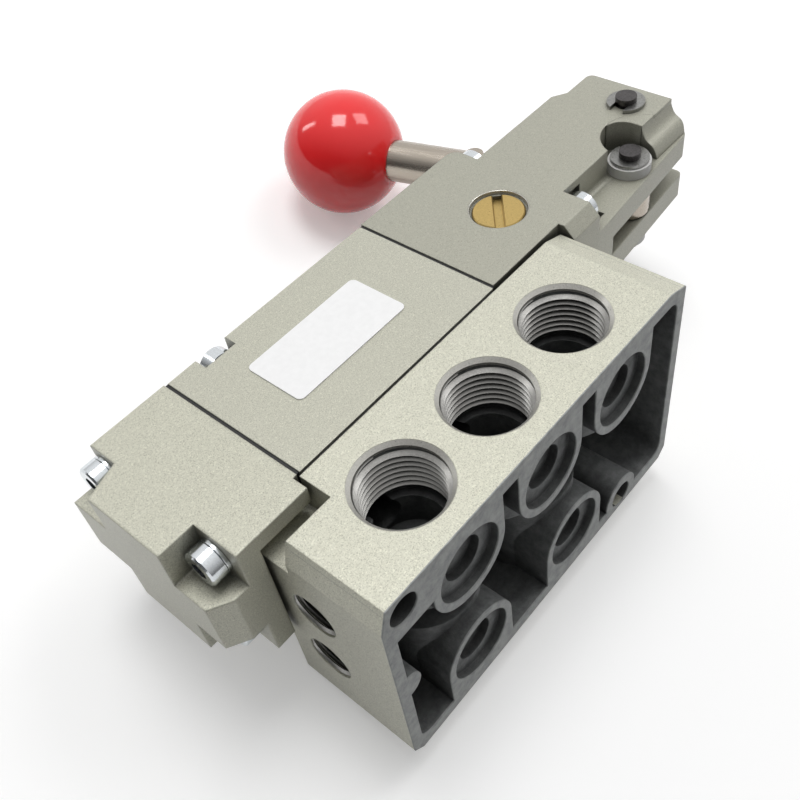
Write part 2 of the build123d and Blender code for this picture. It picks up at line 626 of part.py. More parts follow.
# ---- end cover ----------------------------------------------------------------------------------
def cover_pockets():
    """Corner pockets that let the four screw heads sit inside the cover's outline."""
    seat_x = COVER_LEFT + COVER_POCKET_LENGTH
    room = SCREW_HEAD_RADIUS + COVER_POCKET_CLEARANCE
    inner = SCREW_SIDE_INSET + room
    top = SCREW_ROWS[0] - room
    low = SCREW_ROWS[1] + room
    past_left = COVER_LEFT - TOOL_OVERRUN
    upper = [(seat_x, top), (past_left, top - COVER_POCKET_SLOPE), (past_left, VALVE_TOP + 2 * TOOL_OVERRUN),
             (seat_x, VALVE_TOP + 2 * TOOL_OVERRUN)]
    lower = [(seat_x, low), (past_left, low), (past_left, SKIRT_Y - TOOL_OVERRUN),
             (seat_x, SKIRT_Y - TOOL_OVERRUN)]
    cut = flat_shape(upper, (FRONT - inner, FRONT + TOOL_OVERRUN))
    cut += flat_shape(lower, (FRONT - inner, FRONT + TOOL_OVERRUN))
    return both_cheeks(cut)


def end_cover():
    """Cover on the end away from the lever."""
    top = VALVE_TOP + COVER_TOP_RISE
    cover = block((COVER_LEFT, COVER_RIGHT), (SKIRT_Y, top), (VALVE_BACK, FRONT))
    cover = fillet(edges_along(cover, Axis.X, y=top), BODY_EDGE_RADIUS)
    step_x = BASE_LEFT - BASE_END_GAP
    cover -= block((step_x, COVER_RIGHT + TOOL_OVERRUN), (SKIRT_Y - TOOL_OVERRUN, SEAT + SEAT_GAP),
                   (VALVE_BACK - TOOL_OVERRUN, FRONT - COVER_LIP))
    cover -= block((COVER_RIGHT - BASE_END_GAP, COVER_RIGHT + TOOL_OVERRUN),
                   (SKIRT_Y - TOOL_OVERRUN, SEAT), (FRONT - COVER_LIP, FRONT + TOOL_OVERRUN))
    past_left = COVER_LEFT - TOOL_OVERRUN
    facet_top = SKIRT_Y + COVER_FACET_HEIGHT
    facet = [(past_left, SKIRT_Y - TOOL_OVERRUN), (COVER_LEFT + COVER_FACET_LENGTH, SKIRT_Y),
             (COVER_LEFT, facet_top), (past_left, facet_top)]
    cover -= flat_shape(facet, (VALVE_BACK - TOOL_OVERRUN, FRONT + TOOL_OVERRUN))
    cover -= cover_pockets()
    bore_end = land_spans()[0][0] - 2 * SPOOL_FORK_CLEARANCE
    cover -= round_x(SLEEVE_BORE_RADIUS, (bore_end, COVER_RIGHT + TOOL_OVERRUN), AXIS_Y, AXIS_Z)
    return cover - end_screw_holes((COVER_LEFT, COVER_RIGHT + TOOL_OVERRUN),
                                   SCREW_RADIUS + SCREW_HOLE_CLEARANCE)


# ---- screws -------------------------------------------------------------------------------------
def socket_screw(length):
    """Socket-head screw along -Z, with the underside of its head at the origin."""
    screw = Pos(0, 0, SCREW_HEAD_LENGTH / 2) * Cylinder(SCREW_HEAD_RADIUS, SCREW_HEAD_LENGTH)
    screw += Pos(0, 0, -length / 2) * Cylinder(SCREW_RADIUS, length)
    socket = RegularPolygon(SCREW_SOCKET_FLATS / 2, 6, major_radius=False)
    return screw - Pos(0, 0, SCREW_HEAD_LENGTH - SCREW_SOCKET_DEPTH) * extrude(socket, SCREW_HEAD_LENGTH)


def end_screws(seat_x, tip_x):
    """Four screws along X, seated at one x and ending at another."""
    turn = Rot(0, 90, 0) if seat_x > tip_x else Rot(0, -90, 0)
    screw = turn * socket_screw(abs(tip_x - seat_x))
    return [Pos(seat_x, y, z) * screw for y in SCREW_ROWS for z in SCREW_SIDES]


def end_cover_screws():
    """Four screws that hold the end cover."""
    return end_screws(COVER_LEFT + COVER_POCKET_LENGTH, BODY_LEFT + SCREW_ENGAGEMENT)


def housing_screws():
    """Four screws that hold the lever housing."""
    return end_screws(HOUSING_RIGHT, BODY_RIGHT - SCREW_ENGAGEMENT)


def body_screws():
    """Two screws, at opposite corners, that hold the valve on its base."""
    seat_y = VALVE_TOP - BODY_SCREW_NOTCH_DEPTH
    length = seat_y - BASE_HEIGHT + BODY_SCREW_ENGAGEMENT - STATIC_CLEARANCE
    screw = Rot(-90, 0, 0) * socket_screw(length)
    return [Pos(x, seat_y, z) * screw for x, z in BODY_SCREWS]


# ---- lever housing ------------------------------------------------------------------------------
def housing_outline():
    """Side view of the housing block with its bracket."""
    step_x = BASE_RIGHT + BASE_END_GAP
    ramp_x = BRACKET_TIP - BRACKET_TIP_LENGTH
    tip_top = BRACKET_TOP - BRACKET_TIP_DROP
    return [(HOUSING_LEFT, SEAT + SEAT_GAP), (step_x, SEAT + SEAT_GAP), (step_x, SKIRT_Y),
            (HOUSING_RIGHT, SKIRT_Y), (BRACKET_TIP, SKIRT_Y + BRACKET_FOOT_RISE), (BRACKET_TIP, tip_top),
            (ramp_x, tip_top), (ramp_x - BRACKET_TIP_RAMP, BRACKET_TOP), (HOUSING_RIGHT, BRACKET_TOP),
            (HOUSING_RIGHT, VALVE_TOP), (HOUSING_LEFT, VALVE_TOP)]


def level_cut():
    """Material taken off the front of the near cheek: a step down with a round pocket in its wall."""
    low_y = SKIRT_Y - TOOL_OVERRUN
    past_tip = BRACKET_TIP + TOOL_OVERRUN
    pocket = (PIVOT[0] + POCKET_OFFSET_X, PIVOT[1] + POCKET_OFFSET_Y)
    z_span = (FRONT - LEVEL_DROP, FRONT + TOOL_OVERRUN)
    outline = [(HOUSING_RIGHT, low_y), (past_tip, low_y), (past_tip, SEAT + LEVEL_TIP_HEIGHT),
               (pocket[0], SEAT + LEVEL_TIP_HEIGHT), (pocket[0], SEAT + LEVEL_HEIGHT),
               (HOUSING_RIGHT, SEAT + LEVEL_HEIGHT)]
    cut = flat_shape(outline, z_span) + round_z(POCKET_RADIUS, *pocket, z_span)
    wall_foot = cut.edges().filter_by(lambda edge: abs(edge.center().Z - z_span[0]) < 0.01)
    wall_foot = wall_foot.filter_by(lambda edge: SEAT < edge.center().Y and edge.center().X < BRACKET_TIP)
    return fillet(wall_foot, LEVEL_FOOT_RADIUS)


def foot_bevel():
    """Triangular strip taken off the block's front lower edge, where it hangs past the base."""
    past = TOOL_OVERRUN
    corner = [(SKIRT_Y - past, FRONT + past), (SKIRT_Y - past, FRONT - HOUSING_SIDE_BEVEL - past),
              (SKIRT_Y + HOUSING_SIDE_BEVEL + past, FRONT + past)]
    return end_shape(corner, (BASE_RIGHT, HOUSING_RIGHT))


def lever_housing():
    """Housing block and forked lever bracket in one casting."""
    housing = flat_shape(housing_outline(), (VALVE_BACK, FRONT))
    housing = fillet(edges_along(housing, Axis.Z, x=HOUSING_RIGHT, y=VALVE_TOP), HOUSING_TOP_RADIUS)
    housing = fillet(edges_along(housing, Axis.Z, x=BRACKET_TIP), BRACKET_CORNER_RADIUS)
    housing -= both_cheeks(level_cut() + foot_bevel())
    reliefs = None
    for z in SCREW_SIDES:
        relief = round_x(HEAD_RELIEF_RADIUS, (HOUSING_RIGHT, HOUSING_RIGHT + HEAD_RELIEF_LENGTH),
                         SCREW_ROWS[1], z)
        reliefs = relief if reliefs is None else reliefs + relief
    housing -= reliefs
    housing -= block((HOUSING_RIGHT + SLOT_START, BRACKET_TIP + TOOL_OVERRUN),
                     (SKIRT_Y - TOOL_OVERRUN, VALVE_TOP),
                     (AXIS_Z - CHEEK_SLOT / 2, AXIS_Z + CHEEK_SLOT / 2))
    return housing_holes(housing)


def housing_holes(housing):
    """Spool bore, seal gland, detent hole, pin holes and screw holes."""
    spool_reach = SPOOL_END + SPOOL_TRAVEL + 2 * SPOOL_FORK_CLEARANCE
    housing -= round_x(ROD_RADIUS + SPOOL_CLEARANCE, (HOUSING_LEFT - TOOL_OVERRUN, spool_reach),
                       AXIS_Y, AXIS_Z)
    housing -= round_x(ROD_SEAL_RADIUS, (HOUSING_LEFT - TOOL_OVERRUN, HOUSING_LEFT + ROD_SEAL_LENGTH),
                       AXIS_Y, AXIS_Z)
    plug_floor = FRONT - PLUG_SUNK - PLUG_LENGTH - PLUG_SEAL_LENGTH
    past_front = FRONT + TOOL_OVERRUN
    housing -= round_z(PLUG_RECESS_RADIUS, DETENT_PLACE, AXIS_Y, (FRONT - 2 * PLUG_SUNK, past_front))
    housing -= round_z(PLUG_RADIUS + STATIC_CLEARANCE, DETENT_PLACE, AXIS_Y, (plug_floor, past_front))
    housing -= round_z(DETENT_HOLE_RADIUS, DETENT_PLACE, AXIS_Y, (AXIS_Z, past_front))
    through = (VALVE_BACK - TOOL_OVERRUN, past_front)
    for place in (PIVOT, STOP_PIN):
        housing -= round_z(PIN_RADIUS + PIN_CLEARANCE, *place, through)
    return housing - end_screw_holes((HOUSING_LEFT - TOOL_OVERRUN, HOUSING_RIGHT + TOOL_OVERRUN),
                                     SCREW_RADIUS + SCREW_HOLE_CLEARANCE)


def rod_seal():
    """Seal round the spool's rod where it enters the housing."""
    return ring_x(ROD_SEAL_RADIUS - STATIC_CLEARANCE, ROD_RADIUS + SPOOL_CLEARANCE,
                  (HOUSING_LEFT + STATIC_CLEARANCE, HOUSING_LEFT + ROD_SEAL_LENGTH), AXIS_Y, AXIS_Z)


# ---- detent -------------------------------------------------------------------------------------
def detent_plug():
    """Slotted screw plug over the detent spring."""
    top = FRONT - PLUG_SUNK
    plug = round_z(PLUG_RADIUS, DETENT_PLACE, AXIS_Y, (top - PLUG_LENGTH, top))
    reach = PLUG_RADIUS + TOOL_OVERRUN
    slot = block((-reach, reach), (-PLUG_SLOT_WIDTH / 2, PLUG_SLOT_WIDTH / 2),
                 (top - PLUG_SLOT_DEPTH, top + TOOL_OVERRUN))
    return plug - Pos(DETENT_PLACE, AXIS_Y, 0) * Rot(0, 0, PLUG_SLOT_TURN) * slot


def detent_plug_seal():
    """Flat ring under the plug."""
    top = FRONT - PLUG_SUNK - PLUG_LENGTH
    span = (top - PLUG_SEAL_LENGTH, top)
    outer = round_z(PLUG_RADIUS - STATIC_CLEARANCE, DETENT_PLACE, AXIS_Y, span)
    return outer - round_z(DETENT_HOLE_RADIUS, DETENT_PLACE, AXIS_Y, span)


def detent_ball():
    """Ball that holds the spool at either end of its travel, drawn just off the rod's crest."""
    return Pos(DETENT_PLACE, AXIS_Y, detent_ball_z()) * Sphere(DETENT_BALL_RADIUS)


def detent_ball_z():
    """Height of the ball's middle."""
    return AXIS_Z + ROD_RADIUS + DETENT_LIFT + DETENT_BALL_RADIUS


def detent_spring():
    """Spring between the ball and the plug: one round wire swept along a helix."""
    low = detent_ball_z() + DETENT_BALL_RADIUS
    high = FRONT - PLUG_SUNK - PLUG_LENGTH - STATIC_CLEARANCE
    coil_radius = DETENT_HOLE_RADIUS - SPRING_WIRE_RADIUS - STATIC_CLEARANCE
    height = high - low - 2 * SPRING_WIRE_RADIUS
    path = Helix(height / SPRING_TURNS, height, coil_radius)
    start = path.position_at(0)
    wire = sweep(Plane(origin=start, z_dir=path.tangent_at(0)) * Circle(SPRING_WIRE_RADIUS), path)
    return Pos(DETENT_PLACE, AXIS_Y, low + SPRING_WIRE_RADIUS) * wire


# ---- lever --------------------------------------------------------------------------------------
def lever_place(shape):
    """Puts a shape drawn upright about the origin, with its plate in the XY plane, at its rest tilt."""
    return Pos(*PIVOT, AXIS_Z) * Rot(0, 0, LEVER_TILT) * shape


def stop_arc_angles():
    """Directions of the stop pin in the upright lever's own frame at the two stops."""
    direction = 90 - degrees(atan(STOP_PIN_X / STOP_PIN_Y))
    return direction - LEVER_TILT, direction + LEVER_TILT


def sector(outer, inner, start_angle, end_angle, thickness):
    """Ring sector about the origin, extruded evenly each side of the XY plane."""
    span = end_angle - start_angle
    outer_arc = CenterArc((0, 0), outer, start_angle, span)
    inner_arc = CenterArc((0, 0), inner, start_angle, span)
    sides = Line(outer_arc @ 0, inner_arc @ 0) + Line(outer_arc @ 1, inner_arc @ 1)
    face = make_face(Curve() + outer_arc + inner_arc + sides)
    return Pos(0, 0, -thickness / 2) * extrude(face, thickness)


def lever_plate():
    """Flat lever: eye at the pivot, slot for the drive pin, arc slot for the stop pin, tongue above."""
    half = PLATE_THICKNESS / 2
    z_span = (-half, half)
    plate = block((-PLATE_HALF_WIDTH, PLATE_HALF_WIDTH), (0, PLATE_LENGTH), z_span)
    plate = fillet(edges_along(plate, Axis.Z, y=PLATE_LENGTH), PLATE_CORNER_RADIUS)
    plate += round_z(PLATE_HALF_WIDTH, 0, 0, z_span)
    low, high = stop_arc_angles()
    slot_half = PIN_RADIUS + STOP_CLEARANCE
    margin = degrees((slot_half + EAR_WALL) / STOP_ARC_RADIUS)
    plate += sector(STOP_ARC_RADIUS + slot_half + EAR_WALL, PLATE_HALF_WIDTH / 2,
                    low - margin, high + margin, PLATE_THICKNESS)
    past = (-half - TOOL_OVERRUN, half + TOOL_OVERRUN)
    plate -= sector(STOP_ARC_RADIUS + slot_half, STOP_ARC_RADIUS - slot_half, low, high,
                    PLATE_THICKNESS + 2 * TOOL_OVERRUN)
    for angle in (low, high):
        plate -= round_z(slot_half, STOP_ARC_RADIUS * cos(radians(angle)),
                         STOP_ARC_RADIUS * sin(radians(angle)), past)
    plate -= round_z(PIN_RADIUS + PIN_CLEARANCE, 0, 0, past)
    slot_radius = DRIVE_PIN_RADIUS + DRIVE_CLEARANCE
    slot_top = DRIVE_ARM / cos(radians(LEVER_TILT)) + DRIVE_CLEARANCE
    slot_low = DRIVE_ARM - DRIVE_CLEARANCE
    plate -= block((-slot_radius, slot_radius), (slot_low, slot_top), past)
    plate -= round_z(slot_radius, 0, slot_low, past) + round_z(slot_radius, 0, slot_top, past)
    for y in rivet_places():
        plate -= round_z(RIVET_RADIUS + STATIC_CLEARANCE, 0, y, past)
    return lever_place(plate)


def rivet_places():
    """Distances of the two rivets from the pivot."""
    middle = HANDLE_START + (PLATE_LENGTH - HANDLE_START) / 2
    return [middle - RIVET_PITCH / 2, middle + RIVET_PITCH / 2]


def lever_rod():
    """Round handle, forked over the plate's tongue."""
    end = KNOB_DISTANCE - KNOB_FLAT + KNOB_BORE_DEPTH - STATIC_CLEARANCE
    rod = round_y(HANDLE_RADIUS, 0, (HANDLE_START, end), 0)
    half = PLATE_THICKNESS / 2 + STATIC_CLEARANCE
    rod -= block((-HANDLE_RADIUS - TOOL_OVERRUN, HANDLE_RADIUS + TOOL_OVERRUN),
                 (HANDLE_START - TOOL_OVERRUN, HANDLE_START + HANDLE_FORK_DEPTH), (-half, half))
    for y in rivet_places():
        rod -= round_z(RIVET_RADIUS + STATIC_CLEARANCE, 0, y,
                       (-HANDLE_RADIUS - TOOL_OVERRUN, HANDLE_RADIUS + TOOL_OVERRUN))
    return lever_place(rod)


def rod_rivets():
    """Two rivets through the fork and the tongue."""
    reach = HANDLE_RADIUS + RIVET_HEAD_LENGTH
    rivets = []
    for y in rivet_places():
        rivet = round_z(RIVET_RADIUS, 0, y, (-reach, reach))
        for side in (-1, 1):
            rivet += round_z(RIVET_HEAD_RADIUS, 0, y, (side * HANDLE_RADIUS, side * reach))
        rivets.append(lever_place(rivet))
    return rivets


def ball_knob():
    """Round knob with a flat and a blind bore for the rod."""
    knob = Pos(0, KNOB_DISTANCE, 0) * Sphere(KNOB_RADIUS)
    flat_y = KNOB_DISTANCE - KNOB_FLAT
    past = 2 * KNOB_RADIUS
    knob -= block((-past, past), (flat_y - past, flat_y), (-past, past))
    bore = HANDLE_RADIUS + STATIC_CLEARANCE
    return lever_place(knob - round_y(bore, 0, (flat_y - TOOL_OVERRUN, flat_y + KNOB_BORE_DEPTH), 0))


# ---- pins in the bracket ------------------------------------------------------------------------
def headed_pin(place, front_z, groove_z, back_z):
    """Pin with a clip groove near its front end and a head behind back_z."""
    pin = round_z(PIN_RADIUS, *place, (back_z, front_z))
    pin += round_z(PIN_HEAD_RADIUS, *place, (back_z - PIN_HEAD_LENGTH, back_z))
    groove = (groove_z, groove_z + CLIP_THICKNESS + STATIC_CLEARANCE)
    collar = round_z(PIN_RADIUS + TOOL_OVERRUN, *place, groove)
    return pin - (collar - round_z(PIN_RADIUS - CLIP_GROOVE_DEPTH, *place, groove))


def pivot_levels():
    """Front and back faces that the pivot pin's washers leave, measured outside the washers."""
    return FRONT - LEVEL_DROP + WASHER_THICKNESS, VALVE_BACK + LEVEL_DROP - WASHER_THICKNESS


def pivot_pin():
    """Pin that the lever turns on."""
    front, back = pivot_levels()
    return headed_pin(PIVOT, FRONT - LEVEL_DROP + PIVOT_PIN_PROUD, front, back)


def stop_pin():
    """Pin that limits the lever in its arc slot."""
    return headed_pin(STOP_PIN, FRONT + STOP_PIN_PROUD, FRONT, VALVE_BACK)


def pivot_washers():
    """Plastic washers on the pivot pin, one outside each cheek."""
    washers = []
    for level, direction in ((FRONT - LEVEL_DROP, 1), (VALVE_BACK + LEVEL_DROP, -1)):
        span = (level, level + direction * WASHER_THICKNESS)
        washer = round_z(WASHER_RADIUS, *PIVOT, span)
        washers.append(washer - round_z(PIN_RADIUS + PIN_CLEARANCE, *PIVOT, span))
    return washers


def retaining_clips():
    """Open rings in the pins' grooves."""
    clips = []
    for place, z, turn in ((PIVOT, pivot_levels()[0], PIVOT_CLIP_TURN), (STOP_PIN, FRONT, STOP_CLIP_TURN)):
        span = (0, CLIP_THICKNESS)
        clip = round_z(CLIP_RADIUS, 0, 0, span)
        clip -= round_z(PIN_RADIUS - CLIP_GROOVE_DEPTH + STATIC_CLEARANCE, 0, 0, span)
        clip -= block((0, CLIP_RADIUS + TOOL_OVERRUN), (-CLIP_MOUTH / 2, CLIP_MOUTH / 2), span)
        clips.append(Pos(*place, z) * Rot(0, 0, turn) * clip)
    return clips


# ---- write one file per piece -------------------------------------------------------------------
PIECES = {
    "sub_base": sub_base,
    "base_gasket": base_gasket,
    "valve_body": valve_body,
    "nameplate": nameplate,
    "spool_sleeve": spool_sleeve,
    "sleeve_seals": sleeve_seals,
    "spool": spool,
    "spool_seals": spool_seals,
    "drive_pin": drive_pin,
    "end_cover": end_cover,
    "end_cover_gasket": lambda: end_gasket((COVER_RIGHT, BODY_LEFT)),
    "end_cover_screws": end_cover_screws,
    "body_screws": body_screws,
    "lever_housing": lever_housing,
    "housing_gasket": lambda: end_gasket((BODY_RIGHT, HOUSING_LEFT)),
    "housing_screws": housing_screws,
    "rod_seal": rod_seal,
    "detent_plug": detent_plug,
    "detent_plug_seal": detent_plug_seal,
    "detent_spring": detent_spring,
    "detent_ball": detent_ball,
    "lever_plate": lever_plate,
    "lever_rod": lever_rod,
    "rod_rivets": rod_rivets,
    "ball_knob": ball_knob,
    "pivot_pin": pivot_pin,
    "pivot_washers": pivot_washers,
    "stop_pin": stop_pin,
    "retaining_clips": retaining_clips,
}

os.makedirs("parts", exist_ok=True)
for name, make in PIECES.items():
    piece = make()
    if isinstance(piece, list):
        piece = Compound(children=piece)
    export_step(piece, f"parts/{name}.step")
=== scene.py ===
"""Finish, small parts, light and camera for the hand lever air valve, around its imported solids."""
import json
import math

import bmesh
import bpy
from mathutils import Euler, Matrix, Vector


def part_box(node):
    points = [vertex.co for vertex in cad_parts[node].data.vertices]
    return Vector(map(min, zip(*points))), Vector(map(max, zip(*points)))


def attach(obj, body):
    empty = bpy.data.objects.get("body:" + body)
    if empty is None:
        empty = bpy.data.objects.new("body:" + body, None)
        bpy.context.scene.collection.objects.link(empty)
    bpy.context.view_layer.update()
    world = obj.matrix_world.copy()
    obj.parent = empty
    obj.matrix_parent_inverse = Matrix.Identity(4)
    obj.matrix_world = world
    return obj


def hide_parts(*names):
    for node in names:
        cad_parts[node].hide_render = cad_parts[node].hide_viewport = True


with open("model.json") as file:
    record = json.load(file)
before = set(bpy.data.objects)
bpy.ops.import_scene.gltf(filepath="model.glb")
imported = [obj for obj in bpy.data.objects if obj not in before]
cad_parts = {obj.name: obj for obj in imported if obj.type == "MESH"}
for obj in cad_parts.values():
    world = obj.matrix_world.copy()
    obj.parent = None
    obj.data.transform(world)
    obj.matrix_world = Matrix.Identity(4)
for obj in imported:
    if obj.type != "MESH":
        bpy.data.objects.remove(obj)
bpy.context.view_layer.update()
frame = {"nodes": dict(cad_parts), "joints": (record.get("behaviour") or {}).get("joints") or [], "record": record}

MM = 0.001
MOUNTS = {mount["name"]: mount for mount in frame["record"]["mounts"]}

# ---- sizes of the small parts that are made here, in millimetres --------------------------------
OVERLAP = 0.02                   # how far a made piece reaches into the wall that it sits on

MAIN_THREAD_PITCH = 1.337
MAIN_THREAD_HEIGHT = 0.86
MAIN_THREAD_LEAD = 0.45          # how far the main threads start out into the cones of their mouths
END_THREAD_PITCH = 0.907
END_THREAD_HEIGHT = 0.58
THREAD_BURIED = 0.06             # how far a thread's root sits inside the wall
THREAD_CREST_WIDTH = 0.16
THREAD_ROOT_SHARE = 0.94         # share of the pitch that a thread's root is wide
THREAD_STEPS = 40                # segments in one turn
THREAD_FADE = 0.6                # share of a turn over which an end of the thread fades
THREAD_LEAST_RISE = 0.02         # share of its height that the very end of a thread keeps

MOUTH_RADIUS = 8.94
MOUTH_DEPTH = 1.3
MOUTH_CONE_DEPTH = 0.75
MOUTH_CONE_RADIUS = 8.2
MOUTH_BELOW_FACE = 0.03
MOUTH_SEGMENTS = 96

SCREW_HEAD_RADIUS = 3.5
SCREW_HEAD_LENGTH = 4.0
SCREW_SHANK_RADIUS = 2.0
SCREW_EDGE = 0.35
SCREW_COLLAR_LENGTH = 0.8        # spring washer under the head
SCREW_COLLAR_GAP = 0.12
SCREW_COLLAR_EDGE = 0.1
SCREW_COLLAR_FOOT = 0.12
SCREW_SEGMENTS = 48
SCREW_FIRST_TURN = 17            # degrees that the first socket of a group is turned by
SCREW_NEXT_TURN = 41             # degrees from one socket to the next
SOCKET_FLATS = 3.0
SOCKET_DEPTH = 2.2

KNOB_RIM = 0.7
KNOB_FLAT_DEPTH = 1.0
KNOB_SEGMENTS = 96

PLUG_EDGE = 0.25
PLUG_SLOT_HALF_WIDTH = 0.9
PLUG_SLOT_DEPTH = 1.3
PLUG_SLOT_TURN = 41              # degrees from the valve's length
PLUG_WELL_RADIUS = 6.17
PLUG_WELL_WALL = 0.12
PLUG_WELL_DEPTH = 0.95
PLUG_WELL_TOP = 0.04             # how far below the housing's face the well's outer edge starts
PLUG_SEGMENTS = 96

FOOT_TOP = 32.15                 # the curved foot at the tip of the bracket, across its front
FOOT_LOW = 27.8
FOOT_FRONT = 24.85
FOOT_LEDGE = 18.4
FOOT_BURIED = 0.1
FOOT_CORNER = 1.6                # round corner of the bracket's tip
FOOT_CORNER_LOW = 27.4
FOOT_STEPS = 20
FOOT_LEFT = 5.6                  # the foot starts this far right of the lever's pivot
POCKET_OFFSET = (2.2, -0.95)     # middle of the round pocket, from the lever's pivot
POCKET_RADIUS = 8.4
POCKET_CORNER_OFFSET = (1.0, 2.85)
POCKET_CORNER = 4.6              # the pocket's own corner, which is tighter on its right
POCKET_FILL_LOW = 32.03
POCKET_FILL_BELOW_FACE = 0.01
POCKET_FILL_REACH = 0.05         # how far the fill reaches into the pocket's wall


# ---- shader nodes ----------------------------------------------------------------------------------
def make_node(tree, kind, inputs=None, **settings):
    """Adds a shader node. An input that is a socket gets a link, and any other value is set."""
    node = tree.nodes.new("ShaderNode" + kind)
    for key, value in settings.items():
        setattr(node, key, value)
    for key, value in (inputs or {}).items():
        if isinstance(value, bpy.types.NodeSocket):
            tree.links.new(value, node.inputs[key])
        else:
            node.inputs[key].default_value = value
    return node


def start_finish(name, **sockets):
    """New material with its shader's sockets set; returns the material, its tree and the shader."""
    material = bpy.data.materials.new(name)
    material.use_nodes = True
    tree = material.node_tree
    shader = tree.nodes["Principled BSDF"]
    for key, value in sockets.items():
        shader.inputs[key.replace("_", " ")].default_value = value
    return material, tree, shader


def places(tree, turn=(0, 0, 0), stretch=(1, 1, 1)):
    """Object coordinates, turned back by an angle and then stretched."""
    where = make_node(tree, "TexCoord").outputs["Object"]
    inputs = {"Vector": where, "Rotation": turn, "Scale": stretch}
    return make_node(tree, "Mapping", inputs, vector_type="TEXTURE").outputs[0]


def noise(tree, where, size, detail=2.0, roughness=0.55):
    """Noise with features of about this size, in millimetres."""
    inputs = {"Vector": where, "Scale": 1 / (size * MM), "Detail": detail, "Roughness": roughness}
    return make_node(tree, "TexNoise", inputs).outputs["Fac"]


def spread(tree, value, low, high, to_low=0.0, to_high=1.0):
    """Stretches part of a value's range over another range."""
    inputs = {"Value": value, "From Min": low, "From Max": high, "To Min": to_low, "To Max": to_high}
    return make_node(tree, "MapRange", inputs).outputs[0]


def compute(tree, operation, first, second=0.0):
    """One step of arithmetic."""
    return make_node(tree, "Math", {0: first, 1: second}, operation=operation).outputs[0]


def blend_colours(tree, share, first, second):
    """First colour at share 0, second at share 1."""
    node = make_node(tree, "Mix", data_type="RGBA")
    for socket, value in ((node.inputs[0], share), (node.inputs[6], first), (node.inputs[7], second)):
        if isinstance(value, bpy.types.NodeSocket):
            tree.links.new(value, socket)
        else:
            socket.default_value = value
    return node.outputs[2]


def bump(tree, shader, height, distance, strength=1.0, edge_radius=0.0):
    """Bump on the shader, over softened edges where a radius is given; sizes in millimetres."""
    inputs = {"Height": height, "Distance": distance * MM, "Strength": strength}
    if edge_radius:
        soft = make_node(tree, "Bevel", {"Radius": edge_radius * MM}, samples=6)
        inputs["Normal"] = soft.outputs[0]
    node = make_node(tree, "Bump", inputs)
    tree.links.new(node.outputs[0], shader.inputs["Normal"])


def darken_corners(tree, colour, reach, least):
    """Painted shade in inner corners: multiplies a colour by the least share where walls stand close."""
    open_share = make_node(tree, "AmbientOcclusion", {"Distance": reach * MM}, samples=6).outputs["AO"]
    share = spread(tree, open_share, 0.25, 0.85, 1.0 - least, 0.0)
    return blend_colours(tree, share, colour, (0.0, 0.0, 0.0, 1.0))


def seen_share(tree):
    """1 on rays from the camera, mirrors and clear plastic, and 0 on the rays that light the valve."""
    rays = make_node(tree, "LightPath").outputs
    seen = compute(tree, "MAXIMUM", rays["Is Camera Ray"], rays["Is Glossy Ray"])
    return compute(tree, "MAXIMUM", seen, rays["Is Transmission Ray"])


def grey(level, warmth=0.0):
    """Grey with a little yellow in it."""
    return (level, level * (1 - 0.15 * warmth), level * (1 - warmth), 1.0)


# ---- finishes ------------------------------------------------------------------------------------------
PAINT_METALLIC = 0.25
PAINT_ROUGHNESS = 0.42
PAINT_CORNER_SHADE = (3.5, 0.35)        # painted corner shade: reach in millimetres, and the share of light left in a corner
BASE_PAINT_DARK = (0.40, 0.395, 0.32, 1.0)
BASE_PAINT_MIDDLE = (0.56, 0.555, 0.46, 1.0)
BASE_PAINT_LIGHT = (0.64, 0.635, 0.53, 1.0)
BASE_PAINT_GRAIN = 0.19
PAINTED_SHELL = 1.2              # paint covers what lies this close to the base's outer faces
PAINTED_NOTCH = Vector((13, 8, 9))
GROUND_FOOT = 0.25               # height of the ground foot of the base's walls
CASTING_DARK = (0.115, 0.12, 0.12, 1.0)
CASTING_LIGHT = (0.21, 0.217, 0.215, 1.0)
# painted shade in the casting's hollows: reach in millimetres, and the share of light left in a corner
CASTING_CORNER_SHADE = (11.0, 0.16)
CASTING_ROUGHNESS = 0.58
GROUND_DARK = (0.24, 0.25, 0.25, 1.0)
GROUND_LIGHT = (0.38, 0.39, 0.38, 1.0)
# share of light that painted corner shade leaves in a metal's inner corners
METAL_CORNER_SHADE_LEAST = 0.25


def speckled(tree, dark, middle, light, grain):
    """Metallic paint's grain: a soft mottle, dark pits and bright flakes."""
    where = places(tree)
    mottle = spread(tree, noise(tree, where, grain * 1.6, 3.0, 0.7), 0.36, 0.64)
    pits = spread(tree, noise(tree, where, grain, 1.0), 0.36, 0.44)
    cells = make_node(tree, "TexVoronoi", {"Vector": where, "Scale": 1 / (grain * 1.1 * MM)})
    flake = make_node(tree, "SeparateColor", {"Color": cells.outputs["Color"]}).outputs[0]
    flakes = spread(tree, flake, 0.86, 1.0, 0.0, 0.6)
    colour = blend_colours(tree, mottle, middle, light)
    colour = blend_colours(tree, pits, dark, colour)
    colour = blend_colours(tree, flakes, colour, tuple(min(1.0, 1.25 * c) for c in light[:3]) + (1.0,))
    return colour, mottle


def paint(name, dark, middle, light, grain, edge_radius, corner_shade=PAINT_CORNER_SHADE):
    """Speckled champagne paint; the last argument gives how far painted shade reaches from a corner and how light
    it leaves it.
    """
    material, tree, shader = start_finish(name, Metallic=PAINT_METALLIC, Roughness=PAINT_ROUGHNESS)
    colour, mottle = speckled(tree, dark, middle, light, grain)
    # painted shade: the paint's colour is darkened in inner corners, where shade falls
    tree.links.new(darken_corners(tree, colour, *corner_shade), shader.inputs["Base Color"])
    shader.inputs["Coat Weight"].default_value = 0.15
    shader.inputs["Coat Roughness"].default_value = 0.3
    bump(tree, shader, mottle, 0.03, 0.5, edge_radius)
    return material


